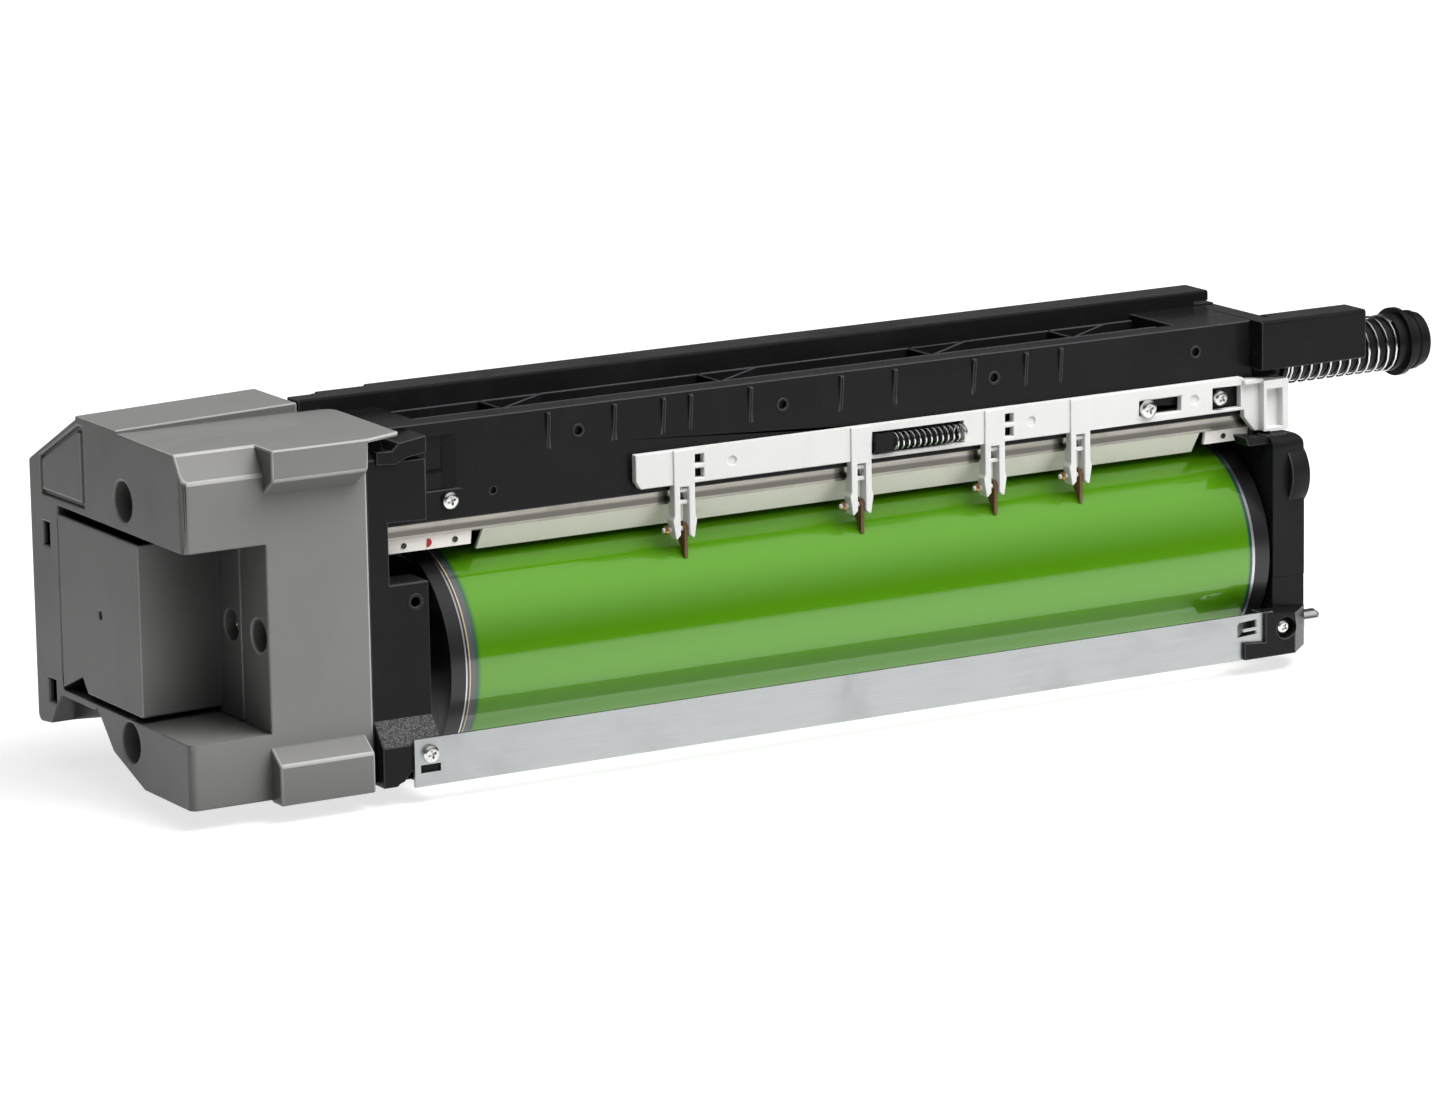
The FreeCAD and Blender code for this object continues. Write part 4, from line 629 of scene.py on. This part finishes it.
def room_beside(edge, shaped):
    """Width that the faces beside an edge leave for its rounding."""
    room = WIDE_ROOM
    for loop in edge.link_loops:
        neighbours = ((loop.link_loop_prev.edge, loop.vert),
                      (loop.link_loop_next.edge, loop.link_loop_next.vert))
        for other, vert in neighbours:
            if line_up(edge, other, vert):
                continue
            first = edge.other_vert(vert).co - vert.co
            second = other.other_vert(vert).co - vert.co
            across = second.length * math.sin(first.angle(second, 0.0))
            far = other.other_vert(vert)
            shared = any(item in shaped and item is not other for item in far.link_edges)
            room = min(room, across * (ROOM_SHARE if shared else 2 * ROOM_SHARE))
    return room


def smooth_runs(shaped):
    """Sharp edges gathered into runs that go on without a corner."""
    runs = []
    remaining = set(shaped)
    while remaining:
        seed = remaining.pop()
        run = [seed]
        front = [seed]
        while front:
            edge = front.pop()
            for vert in edge.verts:
                for other in vert.link_edges:
                    if other in remaining and line_up(edge, other, vert):
                        remaining.discard(other)
                        run.append(other)
                        front.append(other)
        runs.append(run)
    return runs


def soften(node, width, shortest, name):
    """Copy of a CAD node with its outer edges rounded, each as far as its faces leave room."""
    bm = bmesh.new()
    bm.from_mesh(NODES[node].data)
    bmesh.ops.remove_doubles(bm, verts=bm.verts, dist=MERGE_DISTANCE)
    bmesh.ops.dissolve_limit(bm, angle_limit=FLAT_ANGLE, verts=bm.verts, edges=bm.edges)
    weight = bm.edges.layers.float.new("bevel_weight_edge")
    shaped = {edge for edge in bm.edges
              if len(edge.link_faces) == 2 and edge.calc_face_angle_signed() > SHARP_ANGLE}
    for run in smooth_runs(shaped):
        length = sum(edge.calc_length() for edge in run)
        share = min(1.0, min(room_beside(edge, shaped) for edge in run) / width)
        if length > shortest and share > LEAST_SHARE:
            for edge in run:
                edge[weight] = share
    grained = bm.faces.layers.float.new(LEATHER_MASK)
    for face in bm.faces:
        slanted = face.normal.z > LEATHER_SLANT and face.normal.y < -LEATHER_SLANT
        if slanted and face.calc_center_median().z < LEATHER_TOP:
            face[grained] = 1.0
    mesh = bpy.data.meshes.new(name)
    bm.to_mesh(mesh)
    bm.free()
    piece = bpy.data.objects.new(name, mesh)
    bpy.context.scene.collection.objects.link(piece)
    for finish in (NODE_FINISH[node], "edge"):
        mesh.materials.append(FINISHES[finish])
    rounding = piece.modifiers.new("Rounded edges", "BEVEL")
    rounding.limit_method = "WEIGHT"
    rounding.width = width
    rounding.segments = 2
    rounding.use_clamp_overlap = False
    rounding.material = 1
    keep_edges(piece)
    paint(piece, NODE_FINISH[node])
    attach(piece, body_of(node))
    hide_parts(node)
    return piece


def keep_edges(piece):
    """Makes the rounding part of the mesh and marks its faces for the painted highlight of the material.
    """
    whole = piece.evaluated_get(bpy.context.evaluated_depsgraph_get())
    mesh = bpy.data.meshes.new_from_object(whole)
    piece.modifiers.clear()
    piece.data = mesh
    mark = mesh.attributes.new(EDGE_HIGHLIGHT_MASK, "FLOAT", "FACE")
    for polygon in mesh.polygons:
        mark.data[polygon.index].value = float(polygon.material_index)
        polygon.material_index = 0


def turn_to(axis):
    """Rotation that takes +Z to the given direction."""
    return Vector((0, 0, 1)).rotation_difference(Vector(axis)).to_matrix().to_4x4()


def pan_head(bm, seat, axis, radius, height, turn):
    """Pan head with a cross recess, standing on its seat along the axis."""
    steps = 32
    ring = bmesh.ops.create_circle(bm, cap_ends=False, segments=steps, radius=radius)["verts"]
    made = list(ring)
    edges = [e for e in bm.edges if e.verts[0] in ring and e.verts[1] in ring]
    for share, rise in HEAD_PROFILE:
        grown = bmesh.ops.extrude_edge_only(bm, edges=edges)["geom"]
        verts = [v for v in grown if isinstance(v, bmesh.types.BMVert)]
        edges = [e for e in grown if isinstance(e, bmesh.types.BMEdge)]
        angle_of = {v: math.atan2(v.co.y, v.co.x) for v in verts}
        for vert in verts:
            vert.co = Vector((math.cos(angle_of[vert]) * radius * share,
                              math.sin(angle_of[vert]) * radius * share, height * rise))
        made += verts
    # recess: the rim falls in towards a cross shaped floor
    for wide, depth in RECESS_PROFILE:
        grown = bmesh.ops.extrude_edge_only(bm, edges=edges)["geom"]
        verts = [v for v in grown if isinstance(v, bmesh.types.BMVert)]
        edges = [e for e in grown if isinstance(e, bmesh.types.BMEdge)]
        for vert in verts:
            angle = math.atan2(vert.co.y, vert.co.x)
            lobe = abs(math.cos(2 * angle)) ** 1.6
            reach = radius * (0.20 + 0.36 * lobe) * wide
            vert.co = Vector((math.cos(angle) * reach, math.sin(angle) * reach, height * depth))
        made += verts
    cap = bmesh.ops.contextual_create(bm, geom=edges)["faces"]
    made += [v for face in cap for v in face.verts]
    made = list(set(made))
    bmesh.ops.transform(bm, matrix=Matrix.Translation(seat) @ turn_to(axis)
                        @ Matrix.Rotation(turn, 4, "Z"), verts=made)


def screw_set(name, nodes, screws, finish):
    """Group of screws with cross recesses that replaces its CAD node."""
    bm = bmesh.new()
    for seat, axis, head_radius, head_height, shank_radius, shank_length, turn in screws:
        pan_head(bm, Vector(seat) * MM, axis, head_radius * MM, head_height * MM, turn)
        shank = bmesh.ops.create_cone(bm, cap_ends=True, segments=20, radius1=shank_radius * MM,
                                      radius2=shank_radius * MM, depth=shank_length * MM)["verts"]
        drop = Matrix.Translation((0, 0, -shank_length / 2 * MM))
        bmesh.ops.transform(bm, matrix=Matrix.Translation(Vector(seat) * MM) @ turn_to(axis) @ drop,
                            verts=shank)
    piece = finish_piece(bm, name, body_of(nodes[0]), finish, smooth=32.0)
    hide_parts(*nodes)
    return piece


def screw_from_node(node, axis):
    """Head seat, size and shank of each screw of a CAD node, read from its loose solids."""
    bm = bmesh.new()
    bm.from_mesh(NODES[node].data)
    bmesh.ops.remove_doubles(bm, verts=bm.verts, dist=MERGE_DISTANCE)
    remaining = set(bm.verts)
    screws = []
    direction = Vector(axis)
    while remaining:
        island = {remaining.pop()}
        front = list(island)
        while front:
            vert = front.pop()
            for edge in vert.link_edges:
                other = edge.other_vert(vert)
                if other in remaining:
                    remaining.discard(other)
                    island.add(other)
                    front.append(other)
        screws.append(measure_screw([v.co / MM for v in island], direction))
    bm.free()
    return sorted(screws, key=lambda screw: tuple(screw[0]))


def measure_screw(points, direction):
    """Takes a plain headed solid apart into its seat, head and shank."""
    heights = sorted({round(p.dot(direction), 3) for p in points})
    tip, seat, top = heights[0], heights[-2], heights[-1]

    def ring_at(level):
        return [p for p in points if abs(p.dot(direction) - level) < SAME_LEVEL]

    def reach(level):
        return max((p - direction * p.dot(direction) - middle).length for p in ring_at(level))

    crown = ring_at(top)
    middle = sum(crown, Vector()) / len(crown)
    middle -= direction * middle.dot(direction)
    return (middle + direction * seat, direction, reach(top), top - seat, reach(tip), seat - tip)


def coil_spring(name, node, centre, radius, wire, start, end, turns, finish, phase=0.0):
    """Round wire compression spring along X with closed end turns."""
    bm = bmesh.new()
    section = bmesh.ops.create_circle(bm, cap_ends=True, segments=10, radius=wire / 2)["verts"]
    bmesh.ops.transform(bm, matrix=Matrix.Rotation(phase, 4, "X")
                        @ Matrix.Translation((start + wire / 2, 0, radius))
                        @ Matrix.Rotation(math.radians(90), 4, "X"), verts=section)
    geometry = list(bm.verts) + list(bm.edges) + list(bm.faces)
    closed_pitch = wire * CLOSED_PITCH
    open_turns = turns - 2 * CLOSED_TURNS
    open_pitch = (end - start - wire - 2 * CLOSED_TURNS * closed_pitch) / open_turns
    for count, pitch in ((CLOSED_TURNS, closed_pitch), (open_turns, open_pitch),
                         (CLOSED_TURNS, closed_pitch)):
        grown = bmesh.ops.spin(bm, geom=geometry, cent=(0, 0, 0), axis=(1, 0, 0),
                               dvec=(pitch / TURN_STEPS, 0, 0), angle=math.tau * count,
                               steps=round(count * TURN_STEPS),
                               use_merge=False, use_normal_flip=False, use_duplicate=False)
        geometry = grown["geom_last"]
    bmesh.ops.translate(bm, vec=(0, centre[0], centre[1]), verts=bm.verts)
    bmesh.ops.remove_doubles(bm, verts=bm.verts, dist=0.000001)
    piece = finish_piece(bm, name, body_of(node), finish, smooth=60.0)
    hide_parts(node)
    return piece


# Settings


class DrumUnitColours(bpy.types.PropertyGroup):
    shell: bpy.props.FloatVectorProperty(name="Shell", description="Grey of the front cover",
                                         subtype="COLOR", size=3, default=(0.198, 0.196, 0.191))
    black: bpy.props.FloatVectorProperty(name="Black", description="Black of the mouldings",
                                         subtype="COLOR", size=3, default=(0.0085, 0.0085, 0.0092))
    drum: bpy.props.FloatVectorProperty(name="Drum", description="Green of the photoconductor coat",
                                        subtype="COLOR", size=3, default=(0.098, 0.312, 0.006))
    white: bpy.props.FloatVectorProperty(name="White", description="White of the claw bar",
                                         subtype="COLOR", size=3, default=(0.67, 0.67, 0.66))
    cream: bpy.props.FloatVectorProperty(name="Cream", description="Cream of the recovery lip",
                                         subtype="COLOR", size=3, default=(0.96, 0.915, 0.86))
    strip: bpy.props.FloatVectorProperty(name="Strip", description="Tint of the polished strip",
                                         subtype="COLOR", size=3, default=(0.41, 0.39, 0.345))
    zinc: bpy.props.FloatVectorProperty(name="Zinc", description="Tint of the zinc plated sheet",
                                        subtype="COLOR", size=3, default=(0.49, 0.505, 0.508))


class DrumUnitSizes(bpy.types.PropertyGroup):
    shell_round: bpy.props.FloatProperty(name="Shell edges", description="Rounding of the grey cover",
                                         subtype="DISTANCE", unit="LENGTH", default=0.0009)
    black_round: bpy.props.FloatProperty(name="Black edges", description="Rounding of the mouldings",
                                         subtype="DISTANCE", unit="LENGTH", default=0.00045)
    shutter_wire: bpy.props.FloatProperty(name="Outlet wire", description="Wire of the outlet spring",
                                          subtype="DISTANCE", unit="LENGTH", default=0.001)
    slider_wire: bpy.props.FloatProperty(name="Slider wire", description="Wire of the slider spring",
                                         subtype="DISTANCE", unit="LENGTH", default=0.0007)


class DrumUnitStudio(bpy.types.PropertyGroup):
    key: bpy.props.FloatProperty(name="Key", description="Power of the lamp above and before the unit",
                                 subtype="POWER", unit="POWER", default=31.0)
    fill: bpy.props.FloatProperty(name="Fill", description="Power of the low lamp before the unit",
                                  subtype="POWER", unit="POWER", default=5.0)
    glow: bpy.props.FloatProperty(name="Glow", description="Level of the soft light around the lamp",
                                  default=0.92)
    ambient: bpy.props.FloatProperty(name="Ambient", description="Level of the light all round",
                                     default=0.02)
    floor: bpy.props.FloatProperty(name="Floor", description="White shown by the floor at the unit",
                                   default=0.70)


# Operators


class DressNodes(bpy.types.Operator):
    """Gives every part of the unit its finish"""

    bl_idname = "drum_unit.dress_nodes"
    bl_label = "Finish the parts"

    def execute(self, context):
        make_finishes(context.scene.drum_unit_colours)
        for node, finish in NODE_FINISH.items():
            paint(NODES[node], finish)
        return {"FINISHED"}


class RoundShell(bpy.types.Operator):
    """Rounds the edges of the grey cover and of the moulding inside its recess"""

    bl_idname = "drum_unit.round_shell"
    bl_label = "Round the grey cover"

    def execute(self, context):
        sizes = context.scene.drum_unit_sizes
        soften("front_cover", sizes.shell_round, 2.0 * MM, "front_cover_moulding")
        soften("inner_cover", sizes.shell_round * 0.6, 2.0 * MM, "inner_cover_moulding")
        return {"FINISHED"}


class RoundMouldings(bpy.types.Operator):
    """Rounds the edges of the black and the white mouldings"""

    bl_idname = "drum_unit.round_mouldings"
    bl_label = "Round the mouldings"

    def execute(self, context):
        width = context.scene.drum_unit_sizes.black_round
        for node in ("front_frame", "drive_frame", "cleaner_housing", "guide_rail", "tube_guard",
                     "charger_cover"):
            soften(node, width, 1.5 * MM, f"{node}_moulding")
        soften("picker_slider", width * 0.8, 1.0 * MM, "picker_slider_moulding")
        return {"FINISHED"}


class MakeScrews(bpy.types.Operator):
    """Makes the screws with their cross recesses"""

    bl_idname = "drum_unit.make_screws"
    bl_label = "Make the screws"

    def execute(self, context):
        groups = (("slider_screws", (0, -1, 0), "bright", "zinc_plate"),
                  ("housing_screw", (0, -1, 0), "bright", "zinc_plate"),
                  ("tie_plate_screws", (0, -1, 0), "bright", "zinc_plate"),
                  ("inner_cover_screw", (-1, 0, 0), "bright", "black_screw"),
                  ("cover_screws", (-1, 0, 0), "black_screw", "black_screw"))
        for node, axis, finish, slot in groups:
            found = screw_from_node(node, axis)
            screws = [(*screw, RECESS_TURNS[index % len(RECESS_TURNS)])
                      for index, screw in enumerate(found)]
            screw_set(f"{node}_cross_head", [node], screws, finish)
        return {"FINISHED"}


def face_of(node):
    """A point and the normal of the largest face of a CAD node."""
    bm = bmesh.new()
    bm.from_mesh(NODES[node].data)
    bmesh.ops.remove_doubles(bm, verts=bm.verts, dist=MERGE_DISTANCE)
    bmesh.ops.dissolve_limit(bm, angle_limit=FLAT_ANGLE, verts=bm.verts, edges=bm.edges)
    front = [face for face in bm.faces if face.normal.y < -0.3]
    face = max(front, key=lambda item: item.calc_area())
    point, normal = face.calc_center_median().copy(), face.normal.copy()
    bm.free()
    return point, normal


class MakeSealMarks(bpy.types.Operator):
    """Makes the small screws and the red inspection mark of the end seals"""

    bl_idname = "drum_unit.make_seal_marks"
    bl_label = "Mark the end seals"

    def execute(self, context):
        for node, places in SEAL_SCREWS.items():
            point, normal = face_of(node)
            bm = bmesh.new()
            for along in places:
                pan_head(bm, Vector((along, point.y, point.z)), normal, *SEAL_HEAD, along * 900)
            finish_piece(bm, f"{node}_screws", "frame", "black_screw")
        point, normal = face_of("front_end_seal")
        bm = bmesh.new()
        bmesh.ops.create_circle(bm, cap_ends=True, segments=40, radius=RED_MARK_RADIUS)
        bmesh.ops.bisect_plane(bm, geom=bm.verts[:] + bm.edges[:] + bm.faces[:],
                               plane_co=(-RED_MARK_FLAT, 0, 0), plane_no=(-1, 0, 0), clear_outer=True)
        grown = bmesh.ops.extrude_face_region(bm, geom=bm.faces[:])["geom"]
        bmesh.ops.translate(bm, vec=(0, 0, RED_MARK_RISE),
                            verts=[item for item in grown if isinstance(item, bmesh.types.BMVert)])
        seat = Vector((RED_MARK_PLACE, point.y, point.z))
        bmesh.ops.transform(bm, matrix=Matrix.Translation(seat) @ turn_to(normal), verts=bm.verts)
        finish_piece(bm, "red_inspection_mark", "frame", "red")
        return {"FINISHED"}


class MakeSprings(bpy.types.Operator):
    """Winds the outlet spring, the slider spring and the claw springs from round wire"""

    bl_idname = "drum_unit.make_springs"
    bl_label = "Wind the springs"

    def execute(self, context):
        sizes = context.scene.drum_unit_sizes
        low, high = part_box("shutter_spring")
        centre = ((low.y + high.y) / 2, (low.z + high.z) / 2)
        radius = (high.z - low.z) / 2 - sizes.shutter_wire / 2
        outlet = coil_spring("shutter_spring_coil", "shutter_spring", centre, radius, sizes.shutter_wire,
                             low.x - OUTLET_END, high.x + OUTLET_END, OUTLET_TURNS, "spring",
                             0.6)
        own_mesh(outlet)
        low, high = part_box("slider_spring")
        centre = ((low.y + high.y) / 2, (low.z + high.z) / 2)
        radius = (high.z - low.z) / 2 - sizes.slider_wire / 2
        slider = coil_spring("slider_spring_coil", "slider_spring", centre, radius, sizes.slider_wire,
                             low.x, high.x, SLIDER_TURNS, "spring", 2.0)
        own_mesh(slider)
        for label in ("front", "second", "third", "drive"):
            node = f"finger_spring_{label}"
            low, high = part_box(node)
            centre = ((low.y + high.y) / 2, (low.z + high.z) / 2)
            radius = (high.z - low.z) / 2 - CLAW_INSET
            coil_spring(f"{node}_coil", node, centre, radius, CLAW_WIRE, low.x, high.x, CLAW_TURNS,
                        "copper")
        return {"FINISHED"}


class BuildStudio(bpy.types.Operator):
    """Sets the floor, the lamps, the surroundings and the camera"""

    bl_idname = "drum_unit.build_studio"
    bl_label = "Build the studio"

    def execute(self, context):
        studio = context.scene.drum_unit_studio
        make_floor(studio.floor)
        make_world(context.scene, studio.ambient, studio.glow)
        add_lamp("Key", KEY_PLACE, KEY_TARGET, *KEY_SIZE, studio.key)
        add_lamp("Fill", FILL_PLACE, KEY_TARGET, *FILL_SIZE, studio.fill)
        make_camera(context.scene)
        context.scene.view_settings.view_transform = "Standard"
        return {"FINISHED"}


def make_floor(lift):
    """White floor that rises to a backdrop behind the unit."""
    bm = bmesh.new()
    front = bm.verts.new((-FLOOR_REACH, -FLOOR_REACH, FLOOR_LEVEL))
    foot = bm.verts.new((-FLOOR_REACH, BACKDROP_PLACE, FLOOR_LEVEL))
    bm.edges.new((front, foot))
    bend = (-FLOOR_REACH, BACKDROP_PLACE, FLOOR_LEVEL + BACKDROP_BEND)
    grown = bmesh.ops.spin(bm, geom=[foot], cent=bend, axis=(1, 0, 0), dvec=(0, 0, 0),
                           angle=math.radians(90), steps=24, use_merge=False, use_normal_flip=False,
                           use_duplicate=False)
    top = next(item for item in grown["geom_last"] if isinstance(item, bmesh.types.BMVert))
    risen = bmesh.ops.extrude_vert_indiv(bm, verts=[top])["verts"]
    bmesh.ops.translate(bm, vec=(0, 0, BACKDROP_HEIGHT), verts=risen)
    swept = bmesh.ops.extrude_edge_only(bm, edges=list(bm.edges))["geom"]
    bmesh.ops.translate(bm, vec=(2 * FLOOR_REACH, 0, 0),
                        verts=[item for item in swept if isinstance(item, bmesh.types.BMVert)])
    bmesh.ops.recalc_face_normals(bm, faces=bm.faces)
    mesh = bpy.data.meshes.new("studio_floor")
    bm.to_mesh(mesh)
    bm.free()
    for polygon in mesh.polygons:
        polygon.use_smooth = True
    floor = bpy.data.objects.new("studio_floor", mesh)
    bpy.context.scene.collection.objects.link(floor)
    material = bpy.data.materials.new("Studio floor")
    material.use_nodes = True
    tree = material.node_tree
    shader = tree.nodes["Principled BSDF"]
    shader.inputs["Roughness"].default_value = 0.9
    shader.inputs["Specular IOR Level"].default_value = 0.1
    # the camera sees the floor whiter than it lights the unit; glossy parts see it white near the
    # unit and dark far from it, which gives the drum its dark middle band
    spot = place(tree, "ShaderNodeTexCoord")
    away = place(tree, "ShaderNodeVectorMath", operation="LENGTH")
    join(tree, spot.outputs["Object"], away.inputs[0])
    levels = []
    for near, far in ((lift, FAR_LIFT), (MIRRORED_NEAR, MIRRORED_FAR)):
        level = place(tree, "ShaderNodeMapRange", {"From Min": FLOOR_FADE[0], "From Max": FLOOR_FADE[1],
                                                   "To Min": near, "To Max": far})
        join(tree, away.outputs["Value"], level.inputs["Value"])
        levels.append(level.outputs["Result"])
    seen = place(tree, "ShaderNodeLightPath")
    shade = place(tree, "ShaderNodeMix", data_type="RGBA")
    shade.inputs[6].default_value = (FLOOR_TONE, FLOOR_TONE, FLOOR_TONE, 1.0)
    shade.inputs[7].default_value = (MIRRORED_TONE, MIRRORED_TONE, MIRRORED_TONE, 1.0)
    join(tree, seen.outputs["Is Glossy Ray"], shade.inputs[0])
    join(tree, shade.outputs[2], shader.inputs["Base Color"])
    through = math_node(tree, "MAXIMUM", seen.outputs["Is Camera Ray"],
                        seen.outputs["Is Transmission Ray"])
    shown = math_node(tree, "MULTIPLY", through, levels[0])
    mirrored = math_node(tree, "MULTIPLY", seen.outputs["Is Glossy Ray"], levels[1])
    shader.inputs["Emission Color"].default_value = (1.0, 1.0, 1.0, 1.0)
    strength = math_node(tree, "MAXIMUM", shown, mirrored)
    join(tree, strength, shader.inputs["Emission Strength"])
    mesh.materials.append(material)


def make_world(scene, ambient, glow):
    """Even surroundings with a broad soft light high in front of the unit."""
    world = bpy.data.worlds.new("Studio surroundings")
    world.use_nodes = True
    scene.world = world
    tree = world.node_tree
    background = tree.nodes["Background"]
    background.inputs["Color"].default_value = (1.0, 1.0, 1.0, 1.0)
    direction = place(tree, "ShaderNodeTexCoord")
    towards = place(tree, "ShaderNodeVectorMath", operation="DOT_PRODUCT")
    join(tree, direction.outputs["Generated"], towards.inputs[0])
    towards.inputs[1].default_value = Vector(KEY_PLACE).normalized()
    lobe = ramp(tree, towards.outputs["Value"], GLOW_EDGE, 1.0)
    level = math_node(tree, "ADD", math_node(tree, "MULTIPLY", lobe, glow), ambient)
    join(tree, level, background.inputs["Strength"])


def add_lamp(name, position, target, width, height, power):
    light = bpy.data.lights.new(name, "AREA")
    light.shape = "RECTANGLE"
    light.size = width
    light.size_y = height
    light.energy = power
    lamp = bpy.data.objects.new(name, light)
    lamp.location = position
    direction = Vector(target) - Vector(position)
    lamp.rotation_euler = direction.to_track_quat("-Z", "Y").to_euler()
    lamp.visible_glossy = False
    bpy.context.scene.collection.objects.link(lamp)


def make_camera(scene):
    """Camera at the photograph's viewing angle."""
    ahead = Vector((math.sin(VIEW_AZIMUTH) * math.cos(VIEW_ELEVATION),
                    math.cos(VIEW_AZIMUTH) * math.cos(VIEW_ELEVATION), -math.sin(VIEW_ELEVATION)))
    right = Vector((math.cos(VIEW_AZIMUTH), -math.sin(VIEW_AZIMUTH), 0))
    up = right.cross(ahead)
    rolled_right = right * math.cos(VIEW_ROLL) + up * math.sin(VIEW_ROLL)
    rolled_up = up * math.cos(VIEW_ROLL) - right * math.sin(VIEW_ROLL)
    spot = (Vector((VIEW_TARGET_X, 0, 0)) - rolled_right * VIEW_SHIFT_RIGHT - rolled_up * VIEW_SHIFT_UP
            - ahead * VIEW_DISTANCE)
    data = bpy.data.cameras.new("Studio camera")
    data.lens = VIEW_LENS
    data.sensor_width = 36.0
    data.sensor_fit = "HORIZONTAL"
    data.clip_end = 50.0
    camera = bpy.data.objects.new("Studio camera", data)
    axes = Matrix((rolled_right, rolled_up, -ahead)).transposed().to_4x4()
    camera.matrix_world = Matrix.Translation(spot) @ axes
    scene.collection.objects.link(camera)
    scene.camera = camera


class DrumUnitPanel(bpy.types.Panel):
    """Settings and steps of the drum unit"""

    bl_idname = "VIEW3D_PT_drum_unit"
    bl_label = "Drum unit"
    bl_space_type = "VIEW_3D"
    bl_region_type = "UI"
    bl_category = "Drum unit"

    def draw(self, context):
        layout = self.layout
        for group in (context.scene.drum_unit_colours, context.scene.drum_unit_sizes,
                      context.scene.drum_unit_studio):
            box = layout.box()
            for name in group.__annotations__:
                box.prop(group, name)
        for operator in OPERATORS:
            layout.operator(operator.bl_idname)


SETTINGS = (DrumUnitColours, DrumUnitSizes, DrumUnitStudio)
OPERATORS = (DressNodes, RoundShell, RoundMouldings, MakeScrews, MakeSealMarks, MakeSprings, BuildStudio)


def register():
    for item in SETTINGS + OPERATORS + (DrumUnitPanel,):
        bpy.utils.register_class(item)
    bpy.types.Scene.drum_unit_colours = bpy.props.PointerProperty(type=DrumUnitColours)
    bpy.types.Scene.drum_unit_sizes = bpy.props.PointerProperty(type=DrumUnitSizes)
    bpy.types.Scene.drum_unit_studio = bpy.props.PointerProperty(type=DrumUnitStudio)


def unregister():
    del bpy.types.Scene.drum_unit_studio
    del bpy.types.Scene.drum_unit_sizes
    del bpy.types.Scene.drum_unit_colours
    for item in reversed(SETTINGS + OPERATORS + (DrumUnitPanel,)):
        bpy.utils.unregister_class(item)


def main():
    register()
    bpy.ops.drum_unit.build_studio()
    bpy.ops.drum_unit.dress_nodes()
    bpy.ops.drum_unit.round_shell()
    bpy.ops.drum_unit.round_mouldings()
    bpy.ops.drum_unit.make_screws()
    bpy.ops.drum_unit.make_seal_marks()
    bpy.ops.drum_unit.make_springs()


if __name__ == "__main__":
    main()
